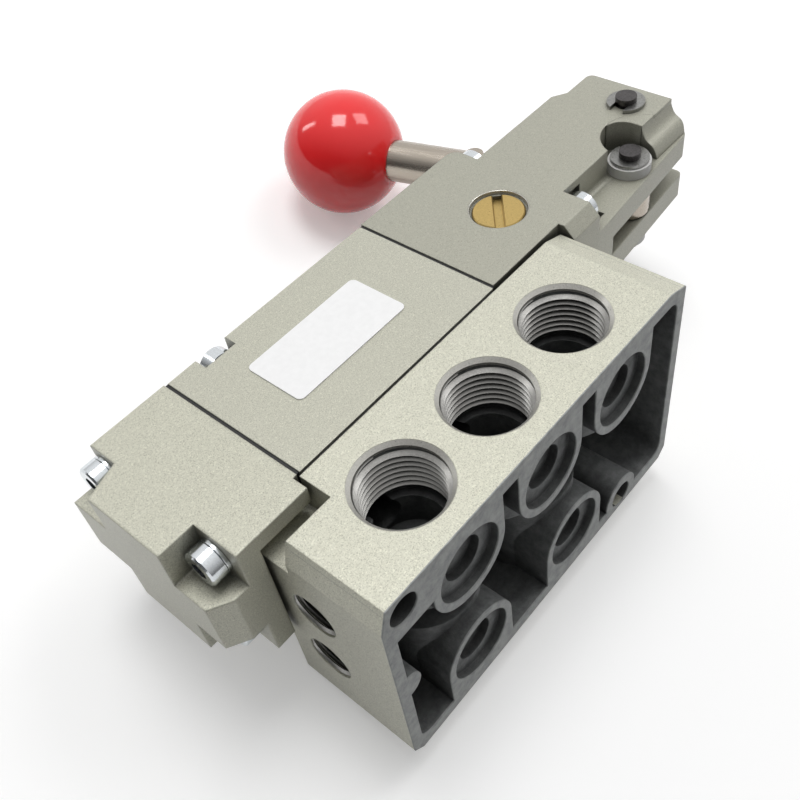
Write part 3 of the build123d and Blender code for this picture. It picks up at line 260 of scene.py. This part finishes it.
def base_finish():
    """Paint outside, bare casting inside, and a bare ground foot under the walls."""
    material, tree, shader = start_finish("base_paint", Metallic=PAINT_METALLIC, Roughness=PAINT_ROUGHNESS)
    low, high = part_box("sub_base")
    shell = PAINTED_SHELL * MM
    painted, mottle = speckled(tree, BASE_PAINT_DARK, BASE_PAINT_MIDDLE, BASE_PAINT_LIGHT, BASE_PAINT_GRAIN)
    # painted shade in the paint's inner corners
    painted = darken_corners(tree, painted, *PAINT_CORNER_SHADE)
    where = make_node(tree, "TexCoord").outputs["Object"]
    x, y, z = make_node(tree, "SeparateXYZ", {"Vector": where}).outputs
    outside = compute(tree, "GREATER_THAN", compute(tree, "ABSOLUTE", x), high.x - shell)
    outside = compute(tree, "MAXIMUM", outside, compute(tree, "GREATER_THAN", y, high.y - shell))
    outside = compute(tree, "MAXIMUM", outside,
                      compute(tree, "GREATER_THAN", compute(tree, "ABSOLUTE", z), high.z - shell))
    # the notch in the base's upper left corner is painted too
    notch = PAINTED_NOTCH * MM
    corner = compute(tree, "LESS_THAN", x, low.x + notch.x)
    corner = compute(tree, "MULTIPLY", corner, compute(tree, "GREATER_THAN", y, high.y - notch.y))
    corner = compute(tree, "MULTIPLY", corner, compute(tree, "GREATER_THAN", z, high.z - notch.z))
    outside = compute(tree, "MAXIMUM", outside, corner)
    # the foot of the walls is ground flat and left bare
    foot = compute(tree, "LESS_THAN", y, GROUND_FOOT * MM)
    patches = spread(tree, noise(tree, where, 2.5, 4.0, 0.7), 0.35, 0.65)
    # bare casting, darkened with painted shade in its hollows and ducts
    casting = darken_corners(tree, blend_colours(tree, patches, CASTING_DARK, CASTING_LIGHT), *CASTING_CORNER_SHADE)
    ground = blend_colours(tree, patches, GROUND_DARK, GROUND_LIGHT)
    bare = blend_colours(tree, foot, casting, ground)
    outside = compute(tree, "MULTIPLY", outside, compute(tree, "SUBTRACT", 1.0, foot))
    tree.links.new(blend_colours(tree, outside, bare, painted), shader.inputs["Base Color"])
    dullness = spread(tree, outside, 0, 1, CASTING_ROUGHNESS, PAINT_ROUGHNESS)
    tree.links.new(dullness, shader.inputs["Roughness"])
    grain = compute(tree, "ADD", mottle, patches)
    bump(tree, shader, grain, 0.04, 0.6, 0.35)
    return material


def plain_metal(name, colour, roughness, grain=0.4, variation=0.12, stretch=(1, 1, 1), turn=(0, 0, 0),
                bump_height=0.006, metallic=1.0, corner_shade_reach=0.0):
    """Bare or plated metal with fine variation along its working marks, and painted shade in its inner corners
    where a reach is given.
    """
    material, tree, shader = start_finish(name, Metallic=metallic, Roughness=roughness)
    where = places(tree, turn, stretch)
    marks = spread(tree, noise(tree, where, grain, 3.0, 0.6), 0.3, 0.7)
    low = tuple(c * (1 - variation) for c in colour) + (1.0,)
    high = tuple(min(1.0, c * (1 + variation)) for c in colour) + (1.0,)
    shade = blend_colours(tree, marks, low, high)
    # painted shade: darker in the inner corners, such as a thread's valleys
    if corner_shade_reach:
        shade = darken_corners(tree, shade, corner_shade_reach, METAL_CORNER_SHADE_LEAST)
    tree.links.new(shade, shader.inputs["Base Color"])
    tree.links.new(spread(tree, marks, 0, 1, roughness * 0.85, roughness * 1.2), shader.inputs["Roughness"])
    bump(tree, shader, marks, bump_height, 0.6)
    return material


def lever_steel():
    """Satin steel drawn along the lever."""
    lean = lever_lean()
    return plain_metal("lever_steel", (0.42, 0.375, 0.32), 0.24, 0.5, 0.08, stretch=(1, 20, 1),
                       turn=(0, 0, lean), bump_height=0.004)


def rubber(name, level):
    """Black rubber with a dusty surface."""
    material, tree, shader = start_finish(name, Roughness=0.6)
    dust = spread(tree, noise(tree, places(tree), 0.7, 4.0, 0.7), 0.35, 0.75)
    tree.links.new(blend_colours(tree, dust, grey(level), grey(level * 2.2)), shader.inputs["Base Color"])
    bump(tree, shader, dust, 0.02)
    return material


def label_film():
    """White film with a slight orange-peel surface and nothing printed on it."""
    material, tree, shader = start_finish("label", Roughness=0.35)
    dust = spread(tree, noise(tree, places(tree), 1.2, 3.0), 0.3, 0.7)
    tree.links.new(blend_colours(tree, dust, grey(0.88), grey(0.92)), shader.inputs["Base Color"])
    bump(tree, shader, dust, 0.01)
    return material


def nylon():
    """Milky washer plastic."""
    material, tree, shader = start_finish("nylon", Roughness=0.4, Alpha=0.75)
    cloud = spread(tree, noise(tree, places(tree), 1.5, 2.0), 0.3, 0.7)
    milk = blend_colours(tree, cloud, grey(0.76, 0.03), grey(0.84, 0.02))
    tree.links.new(milk, shader.inputs["Base Color"])
    shader.inputs["Subsurface Weight"].default_value = 0.2
    shader.inputs["Subsurface Radius"].default_value = (0.6 * MM, 0.6 * MM, 0.6 * MM)
    bump(tree, shader, cloud, 0.01)
    return material


def red_plastic():
    """Polished red moulding."""
    material, tree, shader = start_finish("red_knob", Roughness=0.12, Coat_Weight=0.15, Coat_Roughness=0.04)
    depth = spread(tree, noise(tree, places(tree), 9, 2.0), 0.3, 0.7)
    tree.links.new(blend_colours(tree, depth, (0.88, 0.017, 0.020, 1), (0.93, 0.021, 0.025, 1)),
                   shader.inputs["Base Color"])
    bump(tree, shader, noise(tree, places(tree), 1.4, 2.0), 0.004)
    return material


# ---- meshes --------------------------------------------------------------------------------------------
def finish_piece(bm, name, material, body, smooth=True, replaces=()):
    """Makes a piece from a bmesh drawn in millimetres in the frame."""
    bmesh.ops.scale(bm, vec=(MM, MM, MM), verts=bm.verts)
    bmesh.ops.recalc_face_normals(bm, faces=bm.faces)
    mesh = bpy.data.meshes.new(name)
    bm.to_mesh(mesh)
    bm.free()
    if smooth:
        mesh.shade_smooth()
        mesh.set_sharp_from_angle(angle=math.radians(32))
    piece = bpy.data.objects.new(name, mesh)
    bpy.context.scene.collection.objects.link(piece)
    mesh.materials.append(material)
    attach(piece, body)
    if replaces:
        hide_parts(*replaces)
    return piece


def spun_profile(bm, points, segments, closed=True):
    """Spins (radius, height) points about the Z axis and returns the new vertices."""
    start = set(bm.verts)
    verts = [bm.verts.new((radius, 0, height)) for radius, height in points]
    pairs = list(zip(verts, verts[1:]))
    if closed:
        pairs.append((verts[-1], verts[0]))
    edges = [bm.edges.new(pair) for pair in pairs]
    bmesh.ops.spin(bm, geom=verts + edges, cent=(0, 0, 0), axis=(0, 0, 1), angle=math.tau, steps=segments,
                   use_merge=True)
    bmesh.ops.remove_doubles(bm, verts=bm.verts, dist=1e-4)
    return [v for v in bm.verts if v not in start]


def turn_to(axis):
    """Rotation that carries +Z to an axis."""
    return Vector((0, 0, 1)).rotation_difference(Vector(axis)).to_matrix().to_4x4()


def add_thread(bm, mount, pitch, height, lead):
    """Helical ridge inside a threaded mount's wall, running out of it by the lead; returns its place."""
    length = mount["dims"]["length_mm"]
    root = mount["dims"]["r_mm"] + THREAD_BURIED
    crest = root - THREAD_BURIED - height
    half_root = pitch * THREAD_ROOT_SHARE / 2
    half_crest = THREAD_CREST_WIDTH / 2
    turns = (length + lead) / pitch - 1
    start = -length / 2 + pitch / 2
    profile = [(root, -half_root), (crest, -half_crest), (crest, half_crest), (root, half_root)]
    verts = [bm.verts.new((r, 0, start + z)) for r, z in profile]
    edges = [bm.edges.new(pair) for pair in zip(verts, verts[1:] + verts[:1])]
    steps = round(THREAD_STEPS * turns)
    ridge = bmesh.ops.spin(bm, geom=verts + edges, cent=(0, 0, 0), axis=(0, 0, 1),
                           dvec=(0, 0, turns * pitch / steps), angle=-math.tau * turns, steps=steps)
    bm.faces.new(verts)
    bm.faces.new([v for v in ridge["geom_last"] if isinstance(v, bmesh.types.BMVert)])
    # the crest rises from the wall at one end of the thread and sinks back into it at the other
    for vert in bm.verts:
        if vert.co.xy.length < root - THREAD_BURIED:
            from_end = min(vert.co.z - start, start + turns * pitch - vert.co.z) + half_crest
            rise = max(THREAD_LEAST_RISE, min(1.0, from_end / (THREAD_FADE * pitch)))
            vert.co.xy *= (root - (root - crest) * rise) / crest
    return Matrix.Translation(Vector(mount["pos_m"]) / MM) @ turn_to(mount["axis"])


def merge_into(target, part, place):
    """Adds a part's mesh to another, turned and moved into place."""
    bmesh.ops.transform(part, matrix=place, verts=part.verts)
    mesh = bpy.data.meshes.new("part")
    part.to_mesh(mesh)
    part.free()
    target.from_mesh(mesh)
    bpy.data.meshes.remove(mesh)


def threads(name, names, pitch, height, lead, material):
    """The threads of several ports as one piece."""
    whole = bmesh.new()
    for mount_name in names:
        part = bmesh.new()
        place = add_thread(part, MOUNTS[mount_name], pitch, height, lead)
        merge_into(whole, part, place)
    return finish_piece(whole, name, material, "valve")


def port_mouths(names, material):
    """Machined cones that lead into the main ports."""
    whole = bmesh.new()
    for mount_name in names:
        mount = MOUNTS[mount_name]
        face = mount["dims"]["length_mm"] / 2 + MOUTH_DEPTH
        outer, inner = MOUTH_RADIUS + OVERLAP, MOUTH_CONE_RADIUS
        deep = face - MOUTH_DEPTH - OVERLAP
        part = bmesh.new()
        spun_profile(part, [(outer, face - MOUTH_BELOW_FACE), (outer, deep), (inner, deep),
                            (inner, face - MOUTH_CONE_DEPTH)], MOUTH_SEGMENTS)
        merge_into(whole, part, Matrix.Translation(Vector(mount["pos_m"]) / MM) @ turn_to(mount["axis"]))
    return finish_piece(whole, "port_mouths", material, "valve")


def socket_screw(length):
    """Socket screw with its head's seat at the origin, its head towards +Z and its shank towards -Z."""
    radius, collar = SCREW_HEAD_RADIUS, SCREW_COLLAR_LENGTH
    low = collar + SCREW_COLLAR_GAP
    bm = bmesh.new()
    head = bmesh.ops.create_cone(bm, segments=SCREW_SEGMENTS, radius1=radius, radius2=radius,
                                 depth=SCREW_HEAD_LENGTH - low, cap_ends=True, cap_tris=False)
    bmesh.ops.translate(bm, vec=(0, 0, (SCREW_HEAD_LENGTH + low) / 2), verts=head["verts"])
    top = max(bm.faces, key=lambda face: face.calc_center_median().z)
    bmesh.ops.bevel(bm, geom=list(top.edges), offset=SCREW_EDGE, offset_type="OFFSET", segments=1,
                    profile=0.5, affect="EDGES", material=-1)
    cut_socket(bm)
    shank_radius, edge = SCREW_SHANK_RADIUS, SCREW_COLLAR_EDGE
    spun_profile(bm, [(shank_radius, 0.0), (radius - edge, 0.0), (radius, SCREW_COLLAR_FOOT),
                      (radius, collar - edge), (radius - edge, collar), (shank_radius, collar)], SCREW_SEGMENTS)
    shank = bmesh.ops.create_cone(bm, segments=SCREW_SEGMENTS // 2, radius1=shank_radius, radius2=shank_radius,
                                  depth=length + low, cap_ends=True, cap_tris=False)
    bmesh.ops.translate(bm, vec=(0, 0, (low - length) / 2), verts=shank["verts"])
    return bm


def cut_socket(bm):
    """Sinks a hexagon socket into the top of the head."""
    top = max(bm.faces, key=lambda face: (round(face.calc_center_median().z, 4), face.calc_area()))
    radius = SOCKET_FLATS / math.sqrt(3)
    outer = list(top.verts)
    bm.faces.remove(top)
    rim = [bm.verts.new((radius * math.cos(math.tau * i / 6), radius * math.sin(math.tau * i / 6),
                         SCREW_HEAD_LENGTH)) for i in range(6)]
    rim_edges = [bm.edges.new((rim[i], rim[(i + 1) % 6])) for i in range(6)]
    outer_edges = [e for e in bm.edges if e.verts[0] in outer and e.verts[1] in outer and e.is_boundary]
    bmesh.ops.triangle_fill(bm, use_beauty=True, edges=rim_edges + outer_edges)
    inside = [f for f in bm.faces if all(v in rim for v in f.verts)]
    bmesh.ops.delete(bm, geom=inside, context="FACES_ONLY")
    walls = bmesh.ops.extrude_edge_only(bm, edges=rim_edges)["geom"]
    floor = [v for v in walls if isinstance(v, bmesh.types.BMVert)]
    bmesh.ops.translate(bm, vec=(0, 0, -SOCKET_DEPTH), verts=floor)
    floor_edges = [e for e in walls if isinstance(e, bmesh.types.BMEdge) and all(v in floor for v in e.verts)]
    bmesh.ops.contextual_create(bm, geom=floor_edges)


def screws(node, seats, outward, length):
    """The screws of one node, each seated at a point with its head outwards."""
    whole = bmesh.new()
    for number, seat in enumerate(seats):
        spin = Matrix.Rotation(math.radians(SCREW_FIRST_TURN + SCREW_NEXT_TURN * number), 4, "Z")
        merge_into(whole, socket_screw(length), Matrix.Translation(seat) @ turn_to(outward) @ spin)
    return finish_piece(whole, node + "_made", zinc, "valve", replaces=(node,))


def node_box(node):
    """Corners of a solid's box in millimetres."""
    low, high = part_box(node)
    return low / MM, high / MM


def end_seats(node, side):
    """Seats of the four screws of one end; side is -1 where their heads face -X."""
    low, high = node_box(node)
    seat_x = low.x + SCREW_HEAD_LENGTH if side < 0 else high.x - SCREW_HEAD_LENGTH
    r = SCREW_HEAD_RADIUS
    return [Vector((seat_x, y, z)) for y in (low.y + r, high.y - r) for z in (low.z + r, high.z - r)]


def lever_lean():
    """Angle from upright of the line from the pivot to the knob's middle."""
    pivot = Vector(frame["joints"][0]["pos_m"])
    low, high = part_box("ball_knob")
    run = (low + high) / 2 - pivot
    return math.atan2(-run.x, run.y)


def knob():
    """Ball with a flat where the rod enters."""
    low, high = node_box("ball_knob")
    middle = (low + high) / 2
    radius = (high.x - low.x) / 2
    pivot = Vector(frame["joints"][0]["pos_m"]) / MM
    inward = (pivot - middle).normalized()
    bm = bmesh.new()
    bmesh.ops.create_uvsphere(bm, u_segments=KNOB_SEGMENTS, v_segments=KNOB_SEGMENTS // 2, radius=radius)
    bmesh.ops.transform(bm, matrix=turn_to(inward), verts=bm.verts)
    flat = radius - KNOB_FLAT_DEPTH
    cut = bmesh.ops.bisect_plane(bm, geom=bm.verts[:] + bm.edges[:] + bm.faces[:], plane_co=inward * flat,
                                 plane_no=inward, clear_outer=True)
    rim = [e for e in cut["geom_cut"] if isinstance(e, bmesh.types.BMEdge)]
    bmesh.ops.contextual_create(bm, geom=rim)
    bmesh.ops.bevel(bm, geom=rim, offset=KNOB_RIM, offset_type="OFFSET", segments=4, profile=0.5,
                    affect="EDGES", material=-1)
    bmesh.ops.translate(bm, vec=middle, verts=bm.verts)
    return finish_piece(bm, "knob_made", red, "lever", replaces=("ball_knob",))


def plug():
    """Slotted plug with a turned rim, in its machined well."""
    low, high = node_box("detent_plug")
    middle = (low + high) / 2
    radius = (high.x - low.x) / 2
    floor = high.z - PLUG_SLOT_DEPTH
    bm = bmesh.new()
    spun_profile(bm, [(0.0, low.z), (radius, low.z), (radius, floor), (0.0, floor)], PLUG_SEGMENTS,
                 closed=False)
    half = math.asin(PLUG_SLOT_HALF_WIDTH / radius)
    for side in (0, math.pi):
        last = PLUG_SEGMENTS // 2 - 1
        arc = [side + half + (math.pi - 2 * half) * i / last for i in range(last + 1)]
        rim = [bm.verts.new((radius * math.cos(a), radius * math.sin(a), floor)) for a in arc]
        land = bmesh.ops.extrude_face_region(bm, geom=[bm.faces.new(rim)])["geom"]
        top = [v for v in land if isinstance(v, bmesh.types.BMVert)]
        bmesh.ops.translate(bm, vec=(0, 0, PLUG_SLOT_DEPTH), verts=top)
        edges = [e for e in bm.edges if e.verts[0] in top and e.verts[1] in top]
        bmesh.ops.bevel(bm, geom=edges, offset=PLUG_EDGE, offset_type="OFFSET", segments=1, profile=0.5,
                        affect="EDGES", material=-1)
    spin = Matrix.Rotation(math.radians(PLUG_SLOT_TURN), 4, "Z")
    place = Matrix.Translation((middle.x, middle.y, 0)) @ spin
    bmesh.ops.transform(bm, matrix=place, verts=bm.verts)
    finish_piece(bm, "plug_made", brass, "valve", replaces=("detent_plug",))
    well = bmesh.new()
    face = node_box("lever_housing")[1].z
    outer, inner = PLUG_WELL_RADIUS + OVERLAP, PLUG_WELL_RADIUS - PLUG_WELL_WALL
    deep = face - PLUG_WELL_DEPTH
    spun_profile(well, [(outer, deep), (outer, face - PLUG_WELL_TOP), (inner, face - PLUG_WELL_WALL),
                        (inner, deep)], PLUG_SEGMENTS)
    bmesh.ops.translate(well, vec=(middle.x, middle.y, 0), verts=well.verts)
    return finish_piece(well, "plug_well", machined, "valve")


def foot_slope(share):
    """How far down the foot has come at a share of its reach: steep, then easy, then steep again."""
    return 0.65 * (0.5 + 4 * (share - 0.5) ** 3) + 0.35 * share


def extrude_outline(bm, points, run):
    """Closed outline drawn out along a vector; returns the vertices of its far end."""
    outline = bm.faces.new([bm.verts.new(point) for point in points])
    drawn = bmesh.ops.extrude_face_region(bm, geom=[outline], use_keep_orig=True)["geom"]
    far_end = [v for v in drawn if isinstance(v, bmesh.types.BMVert)]
    bmesh.ops.translate(bm, vec=run, verts=far_end)
    return far_end


def bracket_foot():
    """Curved foot between the front of the bracket's tip and its lower level, and the pocket's right side."""
    high = node_box("lever_housing")[1]
    pivot = Vector(frame["joints"][0]["pos_m"]) / MM
    left = pivot.x + FOOT_LEFT
    deep = FOOT_LEDGE - FOOT_BURIED
    bm = bmesh.new()
    slope = []
    for step in range(FOOT_STEPS):
        share = step / FOOT_STEPS
        slope.append((left, FOOT_TOP + (FOOT_LOW - FOOT_TOP) * share,
                      FOOT_FRONT + (FOOT_LEDGE - FOOT_FRONT) * foot_slope(share)))
    under = [(left, FOOT_LOW, deep), (left, FOOT_TOP, deep)]
    tip_end = extrude_outline(bm, slope + under, (high.x - left, 0, 0))
    for vert in tip_end:
        # the end follows the round corner of the bracket's tip
        into = max(0.0, FOOT_CORNER_LOW + FOOT_CORNER - vert.co.y)
        vert.co.x = high.x - FOOT_CORNER + math.sqrt(FOOT_CORNER ** 2 - into ** 2) - OVERLAP
    corner = Vector((pivot.x + POCKET_CORNER_OFFSET[0], pivot.y + POCKET_CORNER_OFFSET[1]))
    pocket = Vector((pivot.x + POCKET_OFFSET[0], pivot.y + POCKET_OFFSET[1]))
    top_y = pocket.y + POCKET_RADIUS - POCKET_FILL_REACH
    inner = [(corner.x + POCKET_CORNER, POCKET_FILL_LOW)]
    outer = []
    for step in range(FOOT_STEPS + 1):
        up = math.sin(math.pi / 2 * step / FOOT_STEPS)
        y = corner.y + (top_y - corner.y) * up
        inner.append((corner.x + math.sqrt(POCKET_CORNER ** 2 - (y - corner.y) ** 2), y))
        y = POCKET_FILL_LOW + (top_y - POCKET_FILL_LOW) * up
        outer.append((pocket.x + math.sqrt(POCKET_RADIUS ** 2 - (y - pocket.y) ** 2) + POCKET_FILL_REACH, y))
    fill = [(x, y, deep) for x, y in inner + outer[::-1]]
    extrude_outline(bm, fill, (0, 0, high.z - POCKET_FILL_BELOW_FACE - deep))
    return finish_piece(bm, "bracket_foot", housing_paint, "valve")


# ---- finishes put on -------------------------------------------------------------------------------------
cover_paint = paint("cover_paint", (0.36, 0.355, 0.29, 1), (0.51, 0.505, 0.415, 1), (0.58, 0.575, 0.475, 1),
                    grain=0.19, edge_radius=0.7)
valve_paint = paint("valve_paint", (0.33, 0.325, 0.27, 1), (0.47, 0.465, 0.385, 1), (0.55, 0.545, 0.455, 1),
                    grain=0.18, edge_radius=0.3)
# the housing's painted corner shade reaches further and leaves less light
housing_paint = paint("housing_paint", (0.30, 0.296, 0.245, 1), (0.375, 0.37, 0.305, 1),
                      (0.41, 0.405, 0.335, 1), grain=0.17, edge_radius=0.5, corner_shade=(5.0, 0.22))
base_paint = base_finish()
zinc = plain_metal("zinc_screw", (0.66, 0.69, 0.71), 0.17, 0.25, 0.05, bump_height=0.0015)
machined = plain_metal("machined_aluminium", (0.55, 0.54, 0.50), 0.32, 0.3, 0.12, metallic=0.6)
# the threads' valleys are darkened with painted shade
thread_cut = plain_metal("thread_cut", (0.33, 0.325, 0.31), 0.34, 0.3, 0.15, corner_shade_reach=1.3)
brass = plain_metal("brass_plug", (0.50, 0.36, 0.135), 0.32, 0.35, 0.1)
red = red_plastic()
gasket = rubber("gasket", 0.009)
FINISHES = {
    "base_paint": base_paint,
    "cover_paint": cover_paint,
    "valve_paint": valve_paint,
    "housing_paint": housing_paint,
    "gasket": gasket,
    "seal": gasket,
    "label": label_film(),
    "inner_steel": plain_metal("inner_steel", (0.55, 0.55, 0.56), 0.25, 0.3),
    "pin_steel": plain_metal("pin_steel", (0.085, 0.08, 0.08), 0.35, 0.4, 0.3),
    "clip_steel": plain_metal("clip_steel", (0.27, 0.27, 0.26), 0.32, 0.4, 0.2),
    "spring_steel": plain_metal("spring_steel", (0.5, 0.5, 0.5), 0.3),
    "zinc_screw": zinc,
    "brass_plug": brass,
    "lever_steel": lever_steel(),
    "nylon": nylon(),
    "red_knob": red,
}
for part in frame["record"]["subparts"]:
    solid = frame["nodes"][part["node"]]
    solid.data.materials.clear()
    solid.data.materials.append(FINISHES[part["material_slot"]])

# ---- small parts put in ------------------------------------------------------------------------------------
MAIN_PORTS = [name for name in MOUNTS if name.startswith(("front_port", "back_port"))]
END_PORTS = [name for name in MOUNTS if name.startswith("end_port")]
threads("main_port_threads", MAIN_PORTS, MAIN_THREAD_PITCH, MAIN_THREAD_HEIGHT, MAIN_THREAD_LEAD, thread_cut)
threads("end_port_threads", END_PORTS, END_THREAD_PITCH, END_THREAD_HEIGHT, 0.0, thread_cut)
port_mouths(MAIN_PORTS, machined)
for node, side in (("end_cover_screws", -1), ("housing_screws", 1)):
    low, high = node_box(node)
    screws(node, end_seats(node, side), (side, 0, 0), high.x - low.x - SCREW_HEAD_LENGTH)
low, high = node_box("body_screws")
seat_y = high.y - SCREW_HEAD_LENGTH
body_seats = [Vector((low.x + SCREW_HEAD_RADIUS, seat_y, high.z - SCREW_HEAD_RADIUS)),
              Vector((high.x - SCREW_HEAD_RADIUS, seat_y, low.z + SCREW_HEAD_RADIUS))]
screws("body_screws", body_seats, (0, 1, 0), high.y - low.y - SCREW_HEAD_LENGTH)
plug()
bracket_foot()
knob()


# ---- floor, light and camera ------------------------------------------------------------------------
BRIGHT_SIDE = (0.60, 0.10, 0.79)  # direction of the windows
ROOM_LIGHT = 0.55
ROOM_DARK = 0.13                  # how bright the far side of the room is beside the windows
ROOM_FADE = (-0.2, 0.75)          # cosines from the bright side between which the room brightens
FLOOR_COLOUR = 0.86
FLOOR_BOUNCE = 0.45               # how pale the floor is to the light that it throws back
FLOOR_GLOW = 0.27
FLOOR_NEAR = 0.4                  # metres from the valve at which the floor starts to fade into white
FLOOR_FAR = 1.5
FLOOR_HALF_WIDTH = 2.0
FLOOR_GAP = 0.0002                # between the floor and the base's edge


def floor_slope():
    """Angle of the surface that carries the base's upper back edge and the knob."""
    base_low, base_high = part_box("sub_base")
    knob_low, knob_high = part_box("ball_knob")
    middle = (knob_low + knob_high) / 2
    radius = (knob_high.x - knob_low.x) / 2
    run = Vector((middle.y - base_high.y, middle.z - base_low.z))
    return math.atan2(run.y, run.x) - math.asin(radius / run.length)


def add_floor():
    """Pale surface under the valve."""
    base_low, base_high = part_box("sub_base")
    bm = bmesh.new()
    bmesh.ops.create_grid(bm, x_segments=1, y_segments=1, size=FLOOR_HALF_WIDTH)
    slope = floor_slope()
    turn = Matrix.Rotation(slope, 4, "X")
    edge = Vector((0, base_high.y, base_low.z - FLOOR_GAP))
    bmesh.ops.transform(bm, matrix=Matrix.Translation(edge) @ turn, verts=bm.verts)
    mesh = bpy.data.meshes.new("floor")
    bm.to_mesh(mesh)
    bm.free()
    floor = bpy.data.objects.new("floor", mesh)
    bpy.context.scene.collection.objects.link(floor)
    material, tree, shader = start_finish("floor", Roughness=0.9, Specular_IOR_Level=0.0)
    seen = seen_share(tree)
    tree.links.new(spread(tree, seen, 0, 1, FLOOR_BOUNCE, FLOOR_COLOUR), shader.inputs["Base Color"])
    # the floor runs out into plain white far from the valve
    distance = make_node(tree, "VectorMath", {0: places(tree)}, operation="LENGTH").outputs["Value"]
    glow = spread(tree, distance, FLOOR_NEAR, FLOOR_FAR, FLOOR_GLOW, 1.0)
    shader.inputs["Emission Color"].default_value = (1, 1, 1, 1)
    tree.links.new(compute(tree, "MULTIPLY", seen, glow), shader.inputs["Emission Strength"])
    mesh.materials.append(material)


def add_world():
    """White surroundings, dimmer on the near side where the room is dark."""
    world = bpy.data.worlds.new("world")
    world.use_nodes = True
    bpy.context.scene.world = world
    tree = world.node_tree
    seen = seen_share(tree)
    from_camera = make_node(tree, "LightPath").outputs["Is Camera Ray"]
    where = make_node(tree, "TexCoord").outputs["Generated"]
    bright_side = make_node(tree, "VectorMath", {0: where, 1: BRIGHT_SIDE}, operation="DOT_PRODUCT")
    level = spread(tree, bright_side.outputs["Value"], *ROOM_FADE, ROOM_DARK, 1.0)
    level = compute(tree, "MAXIMUM", level, from_camera)
    strength = spread(tree, seen, 0, 1, ROOM_LIGHT, 1.0)
    back = tree.nodes["Background"]
    back.inputs["Color"].default_value = (1, 1, 1, 1)
    tree.links.new(compute(tree, "MULTIPLY", level, strength), back.inputs["Strength"])


def add_lamp(name, place, target, size, power):
    """Square soft lamp that faces a point."""
    data = bpy.data.lights.new(name, "AREA")
    data.shape = "RECTANGLE"
    data.size, data.size_y = size
    data.energy = power
    lamp = bpy.data.objects.new(name, data)
    lamp.location = place
    lamp.rotation_euler = (Vector(target) - Vector(place)).to_track_quat("-Z", "Y").to_euler()
    bpy.context.scene.collection.objects.link(lamp)


def add_camera():
    """Camera above the left front corner of the mounting face."""
    data = bpy.data.cameras.new("camera")
    data.sensor_width = 36
    data.lens = 42.45
    camera = bpy.data.objects.new("camera", data)
    camera.location = (-0.07962, -0.05548, 0.14503)
    camera.rotation_euler = Euler([math.radians(a) for a in (41.187, 7.042, -49.323)], "XYZ")
    data.clip_start = 0.005
    bpy.context.scene.collection.objects.link(camera)
    bpy.context.scene.camera = camera


add_floor()
add_world()
add_lamp("window_lamp", (0.122, 0.124, 1.10), (0.03, 0.05, 0.0), (0.40, 0.46), 4.9)
add_lamp("right_lamp", (0.68, -0.20, 0.90), (0.03, 0.03, 0.0), (0.40, 0.40), 2.2)
add_lamp("side_lamp", (-0.25, 0.90, 0.70), (0.0, 0.05, 0.0), (0.12, 0.45), 1.2)
add_camera()
bpy.context.scene.view_settings.view_transform = "Standard"
